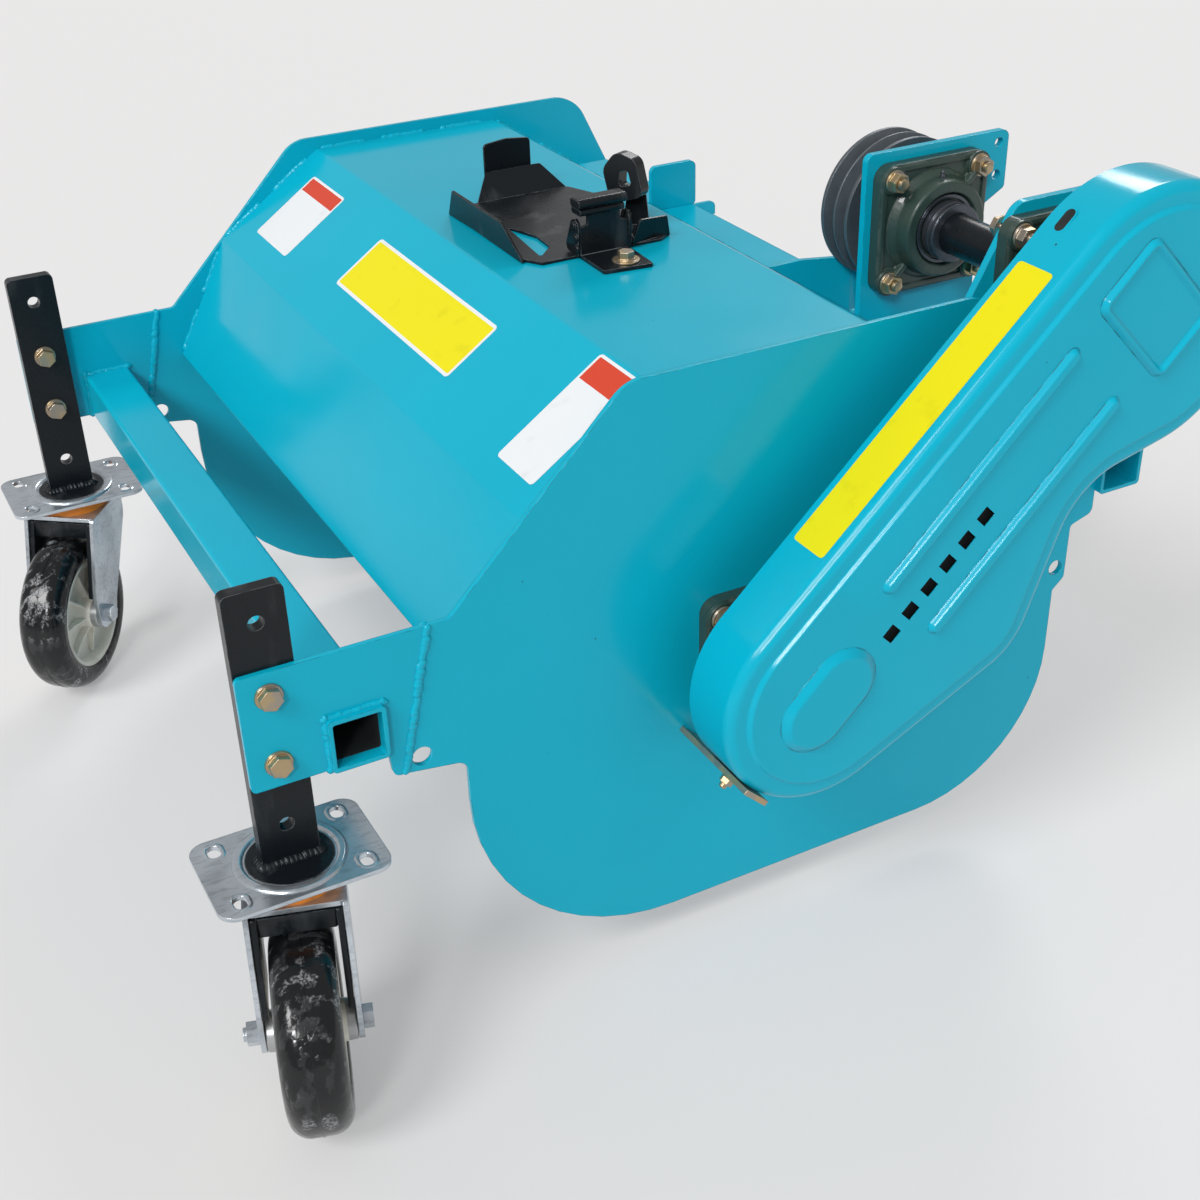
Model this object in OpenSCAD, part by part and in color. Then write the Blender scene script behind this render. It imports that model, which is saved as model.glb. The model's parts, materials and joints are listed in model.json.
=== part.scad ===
// Flail mower for the front of a two-wheeled tractor: a welded deck on two swivel casters, a rotor
// of free-swinging flails and its belt drive. Millimetres, +Z up, front towards -Y, belts on +X.

/* [Deck] */
// Width over the side plates
deck_w = 800; // [700:10:900]
// Thickness of the side plates and front arms
plate_t = 5; // [4:0.5:8]
// Length of the side plates behind the front corner
plate_l = 645; // [635:1:665]
// Thickness of the folded deck sheet
sheet_t = 3; // [2:0.5:4]
// Depth of the top panel below the side plates' top edge
sheet_drop = 13; // [8:1:20]
// Start of the side plates' top edge behind the front corner
top_front = 166; // [140:1:190]
// End of the side plates' top edge behind the front corner
top_rear = 529; // [505:1:540]
// Radius of the side plates' front skid corner
nose_r = 200; // [120:5:215]
// Radius of the side plates' rear skid corner
heel_r = 150; // [100:5:180]
// Diameter of the pin holes in the side plates' front lobes
lobe_hole_d = 18; // [10:1:20]
// Diameter of the holes in the side plates' rear ears
ear_hole_d = 16; // [10:1:18]

/* [Front arms and legs] */
// Reach of the front arms before the front corner
arm_l = 179; // [170:1:200]
// Outside width of the square cross tubes
tube_w = 50; // [40:5:60]
// Wall of the square cross tubes
tube_wall = 4; // [3:0.5:6]
// Stand-out of the cross tubes beyond the side plates
tube_out = 7; // [3:1:12]
// Width of the caster legs
leg_w = 50; // [40:1:56]
// Thickness of the caster legs
leg_t = 12; // [8:1:16]
// Length of the caster legs
leg_l = 259; // [250:1:280]
// Distance between the height holes of a leg
hole_pitch = 64; // [60:1:68]
// Height of the lowest leg hole over the caster plate
hole_low = 38; // [30:1:45]
// Arm plate above and below its two leg bolts
arm_edge = 22; // [18:1:26]
// Thread size of the leg bolts
leg_bolt_d = 12; // [10:1:14]

/* [Casters] */
// Height of the skids over the ground
ride_h = 33; // [20:1:45]
// Height of a caster from the ground to the top of its plate
caster_h = 231; // [225:1:245]
// Wheel diameter
wheel_d = 185; // [170:1:190]
// Tyre width
wheel_w = 56; // [46:1:60]
// Shoulder radius of the tyres
shoulder_r = 18; // [10:1:22]
// Distance of the axle behind the swivel pin
trail = 54; // [40:1:58]
// Caster plate across the machine
plate_x = 106; // [100:1:120]
// Caster plate along the machine
plate_y = 148; // [130:1:160]
// Swivel angle of the right wheel at rest
swivel_right = -17; // [-180:1:180]
// Swivel angle of the left wheel at rest
swivel_left = -38; // [-180:1:180]

/* [Rotor] */
// Circle of the flail tips
swing_d = 460; // [440:2:480]
// Height of the flail tips over the skids
cut_h = 38; // [20:1:60]
// Room between the flail circle and the top panel
head_room = 43; // [30:1:60]
// Rotor axis behind the front corner
rotor_y = 298; // [285:1:310]
// Rotor tube diameter
rotor_d = 102; // [80:1:104]
// Wall of the rotor tube
rotor_wall = 6; // [4:0.5:10]
// Distance of the outermost flail sets from the side plates
flail_end = 94; // [80:1:110]
// Distance of the flail pins from the rotor axis
pin_r = 88; // [87:1:94]
// Spread of each flail blade's bent edge
flail_spread = 19; // [10:1:19]

/* [Drive] */
// Jackshaft axis behind the front corner
jack_y = 622; // [615:1:640]
// Jackshaft axis below the side plates' top edge
jack_drop = 11; // [0:1:20]
// Diameter of the rotor stub shafts and of the jackshaft
shaft_d = 40; // [30:1:44]
// Side of the square bearing flanges
flange_w = 130; // [124:1:136]
// Distance between bearing bolts
flange_pitch = 102; // [96:1:104]
// Thread size of the bearing bolts
flange_bolt_d = 12; // [10:1:14]
// Input pulley diameter
input_d = 150; // [130:2:160]
// Drive pulley diameter
drive_d = 156; // [140:2:166]
// Driven pulley diameter
driven_d = 116; // [104:2:126]
// Inner face of the inner bearing plate
inner_plate_x = 175; // [172:1:200]
// Inner face of the outer bearing plate
outer_plate_x = 360; // [340:1:365]
// Thickness of the bearing plates
bearing_plate_t = 8; // [6:1:10]

/* [Belt cover] */
// Stand-off of the belt cover from the side plate
cover_off = 46; // [44:1:52]
// Depth of the belt cover
cover_depth = 62; // [60:1:72]
// Sheet thickness of the belt cover
cover_t = 2; // [1.5:0.5:3]
// Room between the pulleys and the cover's side wall
cover_gap = 44; // [40:1:50]
// Radius of the fold between the cover's wall and face
fold_r = 9; // [6:1:12]
// Height of the pressed ribs and panels
press_h = 4; // [2:0.5:5]
// Number of cooling slots
vent_count = 6; // [3:1:6]

/* [Holder tray] */
// Middle of the tray across the machine
tray_x = -25; // [-60:5:40]
// Front wall of the tray behind the front corner
tray_y = 232; // [225:1:240]
// Length of the tray across the machine
tray_l = 180; // [160:5:200]
// Depth of the tray along the machine
tray_w = 150; // [130:2:160]
// Height of the tray walls
tray_h = 28; // [20:1:36]
// Sheet thickness of the tray
tray_t = 3; // [2:0.5:4]

/* [Hidden] */
$fn = 48;

// Clearances
run_fit = 0.05;
bolt_fit = 0.5;
swivel_gap = 0.4;
side_gap = 0.5;
belt_gap = 0.5;

// Heights and places of the welded frame
rotor_z = cut_h + swing_d / 2;
top_z = rotor_z + swing_d / 2 + head_room;
plate_h = top_z + sheet_drop;
plate_out = deck_w / 2;
plate_in = plate_out - plate_t;
caster_top = caster_h - ride_h;
flail_pitch = 2 * (plate_in - flail_end) / 7;
hole_z = [for (k = [0:3]) caster_top + hole_low + k * hole_pitch];
arm_bottom = hole_z[1] - arm_edge;
arm_top = hole_z[2] + arm_edge;
leg_x = plate_in - leg_t / 2;
leg_y = leg_w / 2 - arm_l;
tube_front = leg_y + leg_w / 2 + 16;
tube_rear = tube_front + tube_w;
seam_top = tube_rear + 43;
seam_low = tube_rear + 13;
lobe_z = arm_bottom - 27;
front_edge = 6;
rear_tube_y = plate_l + 39;
rear_tube_z = 318;
jack_z = plate_h - jack_drop;

// Folded deck sheet, from the front lip over the top to the rear lip
valley = [jack_y - 32, jack_z - input_d / 2 - 38];
sheet_line = [[2, arm_bottom + tube_w], [69, top_z - 85], [194, top_z], [419, top_z], valley,
    [plate_l - 11, 300]];
bend_r = 8;

// Bearings and drive
flange_t = 15;
boss_r = flange_w * 0.36;
boss_h = 36;
ring_r = shaft_d / 2 + 6;
ring_l = 49;
inner_face_x = inner_plate_x + bearing_plate_t;
outer_face_x = outer_plate_x + bearing_plate_t;
groove_pitch = 19;
belt_w = 16;
belt_h = 11;
groove_angle = 18;
pulley_w = 44;
cover_x = plate_out + cover_off;
face_x = cover_x + cover_depth;
pulley_x = cover_x + 5;
input_x = inner_plate_x - flange_bolt_d - 6 - pulley_w;
drive_axis = [jack_y - rotor_y, jack_z - rotor_z];
drive_len = norm(drive_axis);
drive_angle = atan2(drive_axis[1], drive_axis[0]);

// Rotor
rotor_half = plate_in - 40;
lug_t = 8;
sleeve_w = 46;
strap_t = 8;
pin_d = 16;
row_angles = [45, 225, 135, 315];
flail_l = swing_d / 2 - pin_r;
bolt_gold = [0.78, 0.64, 0.36];
teal = [0.05, 0.66, 0.75];
zinc = [0.72, 0.76, 0.80];
satin_black = [0.07, 0.07, 0.08];

// Middle of the machine's outline, which stands on the origin
function wheel_reach(a, b) = trail * abs(a) + (wheel_d / 2 - shoulder_r) * abs(a)
    + (wheel_w / 2 - shoulder_r) * abs(b) + shoulder_r;
right_end = max(face_x + 2 * press_h, leg_x + wheel_reach(cos(swivel_right), sin(swivel_right)));
front_end = leg_y - wheel_reach(sin(swivel_left), cos(swivel_left));
mid_x = (right_end - plate_out - ring_l - 6) / 2;
mid_y = (jack_y + drive_d / 2 + cover_gap + front_end) / 2;

// Outlines with rounded corners: each corner is [y, z, radius], counter-clockwise
function xy(c) = [c[0], c[1]];
function heading(a, b) = (b - a) / norm(b - a);
function left_of(u) = [-u[1], u[0]];
function dir2(a) = [cos(a), sin(a)];
function corner_arc(c, i, d, step) =
    let (n = len(c), p = xy(c[i]), u = heading(xy(c[(i + n - 1) % n]), p))
    let (v = heading(p, xy(c[(i + 1) % n])), turn = atan2(u[0] * v[1] - u[1] * v[0], u * v))
    let (q = p + d * (left_of(u) + left_of(v)) / (1 + u * v), r = c[i][2] - d * sign(turn))
    r < 0.05 ? [q] :
    let (reach = r * tan(abs(turn) / 2), start = q - reach * u)
    let (centre = start + sign(turn) * r * left_of(u), count = max(2, ceil(abs(turn) / step)))
    let (first = atan2(start[1] - centre[1], start[0] - centre[0]))
    [for (k = [0:is_undef(c[i][3]) ? count : count - 1]) centre + r * dir2(first + turn * k / count)];
function outline(c, d = 0, step = 7.5) =
    [for (i = [0:len(c) - 1]) each corner_arc(c, i, d, step)];

// Point p of an open line moved to its right side by d
function shifted(line, i, d) =
    let (a = line[max(i - 1, 0)], b = line[min(i + 1, len(line) - 1)], p = line[i])
    let (u = i == 0 ? heading(p, b) : heading(a, p), v = i == len(line) - 1 ? u : heading(p, b))
    p - d * (left_of(u) + left_of(v)) / (1 + u * v);

// Height of the deck sheet's rear slope at y
function slope_z(y) = top_z + (y - sheet_line[3][0]) * (valley[1] - top_z)
    / (valley[0] - sheet_line[3][0]);

module placed() {
    translate([-mid_x, -mid_y, ride_h]) children();
}

// A flat outline in Y and Z, made a plate from x over thickness t
module plate_at(x, t) {
    translate([x, 0, 0]) rotate([90, 0, 90]) linear_extrude(t) children();
}

// A turned or extruded shape with its axis along +X through a point
module axis_x(x, y, z) {
    translate([x, y, z]) rotate([0, 90, 0]) children();
}

module on_side(s) {
    mirror([s < 0 ? 1 : 0, 0, 0]) children();
}

module rounded(w, h, r) {
    polygon(outline([[-w / 2, -h / 2, r], [w / 2, -h / 2, r], [w / 2, h / 2, r], [-w / 2, h / 2, r]]));
}

// Flanged hex bolt along +X with its nut: the head's seat is at the origin
module hex_bolt(d, grip, nut = true) {
    rotate([0, 90, 0]) {
        cylinder(r = d * 1.05, h = 2.5);
        cylinder(r = d * 0.87, h = 0.85 * d, $fn = 6);
        translate([0, 0, -grip - (nut ? d : 0)]) cylinder(d = d, h = grip + (nut ? d : 0) + 1);
        if (nut) translate([0, 0, -grip - 0.85 * d]) cylinder(r = d * 0.87, h = 0.85 * d, $fn = 6);
    }
}

// Welded frame

module side_plate(s) {
    corners = [[front_edge, 0, nose_r], [plate_l, 0, heel_r], [plate_l, 218, 3],
        [plate_l + 13, 230, 6], [plate_l + 13, 288, 5], [rear_tube_y, 296, 8],
        [rear_tube_y, rear_tube_z + tube_w, 0], [rear_tube_y + tube_w, rear_tube_z + tube_w, 0],
        [rear_tube_y + tube_w, rear_tube_z + tube_w + 18, 8], [top_rear + 82, 386, 50],
        [top_rear, plate_h, 45], [top_front, plate_h, 40], [0, arm_top, 8], [seam_top, arm_top, 0],
        [seam_low, lobe_z, 0], [front_edge, lobe_z - 8, 12]];
    color(teal) on_side(s) difference() {
        plate_at(plate_in, plate_t) polygon(outline(corners));
        axis_x(plate_in - 1, seam_low + 16, lobe_z + 12) cylinder(d = lobe_hole_d, h = plate_t + 2);
        axis_x(plate_in - 1, plate_l, 244) cylinder(d = ear_hole_d, h = plate_t + 2);
        axis_x(plate_in - 1, rotor_y, rotor_z) cylinder(r = ring_r + 4, h = plate_t + 2);
        flange_holes(plate_in - 1, rotor_y, rotor_z, plate_t + 2);
    }
}

module front_arm(s) {
    corners = [[-arm_l, arm_bottom, 5], [tube_front, arm_bottom, 0],
        [tube_front, arm_bottom + tube_w, 0], [tube_rear, arm_bottom + tube_w, 0],
        [tube_rear, arm_bottom, 0], [tube_rear + 3, lobe_z, 7], [seam_low, lobe_z, 0],
        [seam_top, arm_top, 0], [-arm_l, arm_top, 5]];
    color(teal) on_side(s) difference() {
        plate_at(plate_in, plate_t) polygon(outline(corners));
        for (z = [hole_z[1], hole_z[2]])
            axis_x(plate_in - 1, leg_y, z) cylinder(d = leg_bolt_d + 2 * bolt_fit, h = plate_t + 2);
    }
}

module deck_shroud() {
    last = len(sheet_line) - 1;
    outer = [for (i = [last:-1:0]) [each sheet_line[i], i == 0 || i == last ? 0 : bend_r]];
    inner = [for (i = [0:last])
        [each shifted(sheet_line, i, sheet_t), i == 0 || i == last ? 0 : bend_r - sheet_t]];
    color(teal) plate_at(-plate_in, 2 * plate_in) polygon(outline(concat(outer, inner)));
}

module square_tube(y, z) {
    half = plate_out + tube_out;
    color(teal) translate([0, y + tube_w / 2, z + tube_w / 2]) rotate([90, 0, 90])
        translate([0, 0, -half]) linear_extrude(2 * half) difference() {
            rounded(tube_w, tube_w, tube_wall);
            rounded(tube_w - 2 * tube_wall, tube_w - 2 * tube_wall, tube_wall / 2);
        }
}

module front_cross_tube() {
    square_tube(tube_front, arm_bottom);
}

module rear_cross_tube() {
    square_tube(rear_tube_y, rear_tube_z);
}

// Rear flange bar, lug and side plate of the hitch, welded on the rear slope
bar_t = 6;
bar_y = 487;
bar_w = 39;
bar_left = -307;
hitch_x = 105;

module rear_flange_bar() {
    z = slope_z(bar_y);
    color(teal) translate([bar_left, bar_y, z - bar_t])
        difference() {
            cube([hitch_x - bar_left, bar_w, bar_t]);
            translate([-1, 0, 0]) rotate([0, 90, 0]) linear_extrude(hitch_x - bar_left + 2)
                polygon([[-bar_t - 1, -1], [1, -1], [1, slope_run(bar_t + 1)], [-bar_t - 1, slope_run(-1)]]);
        }
}

// Distance along Y over which the rear slope falls by drop
function slope_run(drop) = drop * (valley[0] - sheet_line[3][0]) / (top_z - valley[1]);

module hitch_lug() {
    z = slope_z(bar_y);
    corners = [[bar_y - 13, z, 0], [bar_y + bar_w + 4, z, 4], [bar_y + bar_w + 4, z + 49, 7],
        [bar_y - 13, z + 49, 7]];
    color(teal) difference() {
        plate_at(-hitch_x - bar_t, bar_t) polygon(outline(corners));
        plate_at(-hitch_x - bar_t - 1, bar_t + 2)
            polygon([[bar_y - 40, slope_z(bar_y - 40)], [bar_y - 40, z - 1], [bar_y, z - 1], [bar_y, z]]);
    }
}

module hitch_side_plate() {
    z = slope_z(bar_y);
    corners = [[bar_y, z, 0], [valley[0], valley[1], 0], [valley[0], z - 8, 8], [bar_y + bar_w, z, 0]];
    color(teal) plate_at(hitch_x, bar_t) polygon(outline(corners));
}

module bearing_plate(x, corners, ear_holes) {
    color(teal) difference() {
        plate_at(x, bearing_plate_t) polygon(outline(corners));
        axis_x(x - 1, jack_y, jack_z) cylinder(r = ring_r + 4, h = bearing_plate_t + 2);
        flange_holes(x - 1, jack_y, jack_z, bearing_plate_t + 2);
        for (p = ear_holes) axis_x(x - 1, p[0], p[1]) cylinder(d = 10, h = bearing_plate_t + 2);
    }
}

ear_hole = [jack_y + 0.67 * flange_w, jack_z + 0.485 * flange_w];
ear_pitch = 0.25 * flange_w;
plate_rear = jack_y + flange_w / 2 + 4;
plate_top = jack_z + 0.577 * flange_w;

module bearing_plate_inner() {
    front = jack_y - 0.56 * flange_w;
    corners = [[front, slope_z(front), 0], [valley[0], valley[1], 0], [plate_rear, valley[1], 20],
        [plate_rear, plate_top - 0.58 * flange_w, 6], [ear_hole[0] + 12, plate_top - 0.45 * flange_w, 5],
        [ear_hole[0] + 12, plate_top, 8], [front, plate_top, 8]];
    bearing_plate(inner_plate_x, corners, [ear_hole, ear_hole - [0, ear_pitch]]);
}

module bearing_plate_outer() {
    front = jack_y - flange_w / 2 - 52;
    rear = jack_y + flange_w / 2 + 25;
    corners = [[front, slope_z(front), 0], [valley[0], valley[1], 0], [rear, valley[1], 20],
        [rear, plate_top, 20], [jack_y - flange_w / 2 + 20, plate_top, 20]];
    bearing_plate(outer_plate_x, corners, []);
}

// Caster legs and their bolts

module caster_leg(s) {
    color(satin_black) on_side(s) difference() {
        plate_at(plate_in - leg_t, leg_t) translate([leg_y, caster_top])
            polygon(outline([[-leg_w / 2, 0, 0], [leg_w / 2, 0, 0], [leg_w / 2, leg_l, 6],
                [-leg_w / 2, leg_l, 6]]));
        for (z = hole_z) axis_x(plate_in - leg_t - 1, leg_y, z)
            cylinder(d = leg_bolt_d + 2 * bolt_fit, h = leg_t + 2);
    }
}

module leg_bolts() {
    color(bolt_gold) for (s = [-1, 1], z = [hole_z[1], hole_z[2]])
        on_side(s) translate([plate_out, leg_y, z]) hex_bolt(leg_bolt_d, plate_t + leg_t + 16, false);
}

module leg_nuts() {
    color(bolt_gold) for (s = [-1, 1], z = [hole_z[1], hole_z[2]])
        on_side(s) axis_x(plate_in - leg_t - leg_bolt_d, leg_y, z) difference() {
            union() {
                cylinder(r = leg_bolt_d * 0.87, h = leg_bolt_d, $fn = 6);
                translate([0, 0, leg_bolt_d - 2.5]) cylinder(r = leg_bolt_d * 1.05, h = 2.5);
            }
            translate([0, 0, -1]) cylinder(d = leg_bolt_d + 2 * run_fit, h = leg_bolt_d + 2);
        }
}

// Casters, drawn about their swivel pin with the axle along Y and the wheel towards +X

plate_thick = 4;
crown_t = 5;
race_h = 16;
fork_t = 4.5;
kingpin_d = 20;
axle_d = 12;
hub_half = wheel_w / 2 + 10;
fork_in = hub_half + side_gap;
axle_z = wheel_d / 2 - ride_h;
crown_z = caster_top - plate_thick - race_h - crown_t;
race_r = plate_x / 2 - 12;

module at_caster(s) {
    translate([s * leg_x, leg_y, 0]) children();
}

module at_swivel(s) {
    at_caster(s) rotate([0, 0, s > 0 ? swivel_right : swivel_left]) children();
}

module slot(length, width, h) {
    for (x = [-1, 1] * (length - width) / 2) translate([x, 0, 0]) cylinder(d = width, h = h);
    translate([-(length - width) / 2, -width / 2, 0]) cube([length - width, width, h]);
}

module caster_plate(s) {
    color(zinc) at_caster(s) {
        difference() {
            union() {
                translate([0, 0, caster_top - plate_thick]) linear_extrude(plate_thick)
                    rounded(plate_x, plate_y, 16);
                translate([0, 0, caster_top]) rotate_extrude()
                    polygon([[race_r - 1, 0], [race_r + 6, 0], [race_r + 4, 2], [race_r + 1, 2]]);
            }
            for (x = [-1, 1] * (plate_x / 2 - 17), y = [-1, 1] * (plate_y / 2 - 20))
                translate([x, y, caster_top - plate_thick - 1]) slot(16, 11, plate_thick + 4);
        }
        translate([0, 0, crown_z - swivel_gap]) cylinder(d = kingpin_d, h = caster_top - crown_z - 1);
        translate([0, 0, crown_z - swivel_gap - 5]) cylinder(d = kingpin_d + 12, h = 5);
    }
}

module caster_fork(s) {
    z = crown_z + crown_t;
    leg = [[trail - 17, axle_z - 17, 16], [trail + 17, axle_z - 17, 16],
        [trail + 17, axle_z + 30, 40], [44, z, 6], [-32, z, 6], [-32, z - 26, 30]];
    color(zinc) at_swivel(s) difference() {
        union() {
            translate([5, 0, crown_z]) linear_extrude(crown_t)
                rounded(74, 2 * (fork_in + fork_t), 8);
            translate([0, 0, z]) cylinder(r = race_r - 8, h = race_h - swivel_gap);
            for (y = [fork_in, -fork_in - fork_t]) translate([0, y + fork_t, 0]) rotate([90, 0, 0])
                linear_extrude(fork_t) polygon(outline(leg));
        }
        translate([0, 0, crown_z - 1]) cylinder(d = kingpin_d + 2 * run_fit, h = crown_t + race_h + 2);
        translate([trail, fork_in + fork_t + 1, axle_z]) rotate([90, 0, 0])
            cylinder(d = axle_d + bolt_fit, h = 2 * (fork_in + fork_t + 1));
    }
}

module swivel_seal(s) {
    color([0.95, 0.48, 0.06]) at_swivel(s) translate([0, 0, crown_z + crown_t]) difference() {
        cylinder(r = race_r - 2, h = race_h - swivel_gap);
        translate([0, 0, -1]) cylinder(r = race_r - 8, h = race_h + 2);
    }
}

module caster_axle(s) {
    half = fork_in + fork_t;
    color(zinc) at_swivel(s) translate([trail, 0, axle_z]) rotate([90, 0, 0]) {
        translate([0, 0, -half - 9]) cylinder(r = 10.5, h = 9, $fn = 6);
        translate([0, 0, -half]) cylinder(d = axle_d, h = 2 * half + 14);
        translate([0, 0, half]) cylinder(r = 10.5, h = 11, $fn = 6);
    }
}

core_r = wheel_d / 2 - 27;

module wheel_core(s) {
    profile = [[axle_d / 2 + run_fit, -hub_half], [17, -hub_half], [20, -14], [core_r - 9, -9],
        [core_r - 5, -wheel_w / 2 + 3], [core_r, -wheel_w / 2 + 3], [core_r, wheel_w / 2 - 3],
        [core_r - 5, wheel_w / 2 - 3], [core_r - 9, 9], [20, 14], [17, hub_half],
        [axle_d / 2 + run_fit, hub_half]];
    color([0.93, 0.90, 0.80]) at_swivel(s) translate([trail, 0, axle_z]) rotate([90, 0, 0])
        rotate_extrude() polygon(profile);
}

module wheel_tyre(s) {
    r = wheel_d / 2;
    profile = outline([[core_r, -wheel_w / 2 + 2, 0], [core_r + 2, -wheel_w / 2 + 1, 0],
        [r, -wheel_w / 2, shoulder_r], [r, wheel_w / 2, shoulder_r], [core_r + 2, wheel_w / 2 - 1, 0],
        [core_r, wheel_w / 2 - 2, 0]], 0, 15);
    color([0.05, 0.05, 0.055]) at_swivel(s) translate([trail, 0, axle_z]) rotate([90, 0, 0])
        rotate_extrude() polygon(profile);
}

// Square flange bearings

module flange_holes(x, y, z, h) {
    for (a = [-1, 1] * flange_pitch / 2, b = [-1, 1] * flange_pitch / 2)
        axis_x(x, y + a, z + b) cylinder(d = flange_bolt_d + 2 * bolt_fit, h = h);
}

module flange_bearing(x, y, z) {
    boss = [[ring_r + run_fit, 0], [boss_r + 8, 0], [boss_r + 8, flange_t], [boss_r + 2, flange_t + 6],
        [boss_r, boss_h], [ring_r + 10, boss_h], [ring_r + 8, boss_h - 5], [ring_r + run_fit, boss_h - 5]];
    color([0.10, 0.16, 0.12]) {
        difference() {
            union() {
                plate_at(x, flange_t) translate([y, z]) rounded(flange_w, flange_w, 16);
                for (a = [-1, 1] * flange_pitch / 2, b = [-1, 1] * flange_pitch / 2)
                    axis_x(x + flange_t, y + a, z + b) cylinder(d = 2 * flange_bolt_d, h = 2);
            }
            flange_holes(x - 1, y, z, flange_t + 4);
            axis_x(x - 1, y, z) cylinder(r = boss_r + 4, h = flange_t + 2);
        }
        axis_x(x, y, z) rotate_extrude() polygon(boss);
        translate([x + flange_t + 9, y, z + boss_r - 2]) cylinder(d = 8, h = 8);
        translate([x + flange_t + 9, y, z + boss_r + 6]) cylinder(d = 5, h = 5);
    }
}

module rotor_bearing(s) {
    on_side(s) flange_bearing(plate_out, rotor_y, rotor_z);
}

module jackshaft_bearing_inner() {
    flange_bearing(inner_face_x, jack_y, jack_z);
}

module jackshaft_bearing_outer() {
    flange_bearing(outer_face_x, jack_y, jack_z);
}

module bolt_square(x, y, z, t) {
    for (a = [-1, 1] * flange_pitch / 2, b = [-1, 1] * flange_pitch / 2)
        translate([x + flange_t + 2, y + a, z + b]) hex_bolt(flange_bolt_d, flange_t + 2 + t);
}

module bearing_bolts() {
    color(bolt_gold) {
        for (s = [-1, 1]) on_side(s) bolt_square(plate_out, rotor_y, rotor_z, plate_t);
        bolt_square(inner_face_x, jack_y, jack_z, bearing_plate_t);
        bolt_square(outer_face_x, jack_y, jack_z, bearing_plate_t);
    }
}

module bearing_ring(x, y, z) {
    axis_x(x + 2, y, z) rotate_extrude() polygon([[shaft_d / 2, 0], [ring_r, 0], [ring_r, boss_h - 4],
        [ring_r + 3, boss_h - 4], [ring_r + 3, ring_l], [shaft_d / 2, ring_l]]);
}

// Rotor with its flails

module rotor_tube() {
    r = rotor_d / 2;
    color(teal) axis_x(-rotor_half, rotor_y, rotor_z) difference() {
        cylinder(r = r, h = 2 * rotor_half);
        translate([0, 0, 12]) cylinder(r = r - rotor_wall, h = 2 * rotor_half - 24);
        translate([0, 0, -1]) cylinder(r = shaft_d / 2, h = 2 * rotor_half + 2);
    }
}

module rotor_stub_shafts() {
    inside = 60;
    color([0.55, 0.56, 0.58]) {
        axis_x(rotor_half - inside, rotor_y, rotor_z)
            cylinder(d = shaft_d, h = pulley_x + pulley_w + 5 - rotor_half + inside);
        axis_x(-plate_out - ring_l - 6, rotor_y, rotor_z)
            cylinder(d = shaft_d, h = plate_out + ring_l + 6 - rotor_half + inside);
        for (s = [-1, 1]) on_side(s) axis_x(rotor_half - inside, rotor_y, rotor_z)
            cylinder(r = rotor_d / 2 - rotor_wall, h = 12);
    }
}

function flail_x(i) = (i - 3.5) * flail_pitch;
function flail_angle(i) = row_angles[i % 4];

module at_pin(i) {
    translate([flail_x(i), rotor_y, rotor_z] + pin_r * [0, each dir2(flail_angle(i))]) children();
}

module flail_lugs() {
    root = rotor_d / 2;
    lug = [[root - 2, -20, 0], [pin_r + 13, -13, 12], [pin_r + 13, 13, 12], [root - 2, 20, 0]];
    color([0.20, 0.21, 0.22]) difference() {
        for (i = [0:7], s = [-1, 1])
            translate([flail_x(i) + s * (sleeve_w / 2 + side_gap + lug_t / 2) - lug_t / 2, rotor_y, rotor_z])
                rotate([flail_angle(i), 0, 0]) rotate([90, 0, 90]) linear_extrude(lug_t)
                    polygon(outline(lug));
        axis_x(-rotor_half, rotor_y, rotor_z) cylinder(r = root, h = 2 * rotor_half);
        for (i = [0:7]) at_pin(i) axis_x(-flail_pitch / 2, 0, 0)
            cylinder(d = pin_d, h = flail_pitch);
    }
}

module flail_pins() {
    half = sleeve_w / 2 + side_gap + lug_t;
    color([0.35, 0.36, 0.38]) for (i = [0:7]) at_pin(i) rotate([0, 90, 0]) {
        translate([0, 0, -half]) cylinder(d = pin_d, h = 2 * half);
        translate([0, 0, half]) cylinder(d = pin_d + 8, h = 5);
        translate([0, 0, -half - 5]) cylinder(d = pin_d + 8, h = 5);
    }
}

// One flail set, hanging: two bent blades that spread into a Y below a sleeve on the pin
module flail(i) {
    tip = flail_spread;
    knee = flail_l * 0.45;
    strap = 7;
    blade = [[sleeve_w / 2 - strap, 0, 0], [sleeve_w / 2 - strap, -knee, 0],
        [sleeve_w / 2 - strap + tip, -flail_l + 6, 0], [sleeve_w / 2 + tip, -flail_l + 6, 0],
        [sleeve_w / 2, -knee + 3, 0], [sleeve_w / 2, 0, 0]];
    color([0.28, 0.29, 0.31]) at_pin(i) difference() {
        union() {
            axis_x(-sleeve_w / 2, 0, 0) cylinder(d = pin_d + 12, h = sleeve_w);
            for (s = [-1, 1]) on_side(s) rotate([90, 0, 0]) translate([0, 0, -strap_t / 2])
                linear_extrude(strap_t) polygon([for (c = blade) xy(c)]);
        }
        axis_x(-sleeve_w, 0, 0) cylinder(d = pin_d + 2 * run_fit, h = 2 * sleeve_w);
    }
}

module rotor_bearing_rings() {
    color([0.62, 0.63, 0.65]) for (s = [-1, 1]) on_side(s) bearing_ring(plate_out, rotor_y, rotor_z);
}

// Pulleys and belts

function groove(x, r) = let (top = belt_w / 2 + belt_gap, depth = belt_h + 2)
    [[r, x - top], [r - depth, x - top + depth * tan(groove_angle)],
     [r - depth, x + top - depth * tan(groove_angle)], [r, x + top]];

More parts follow.
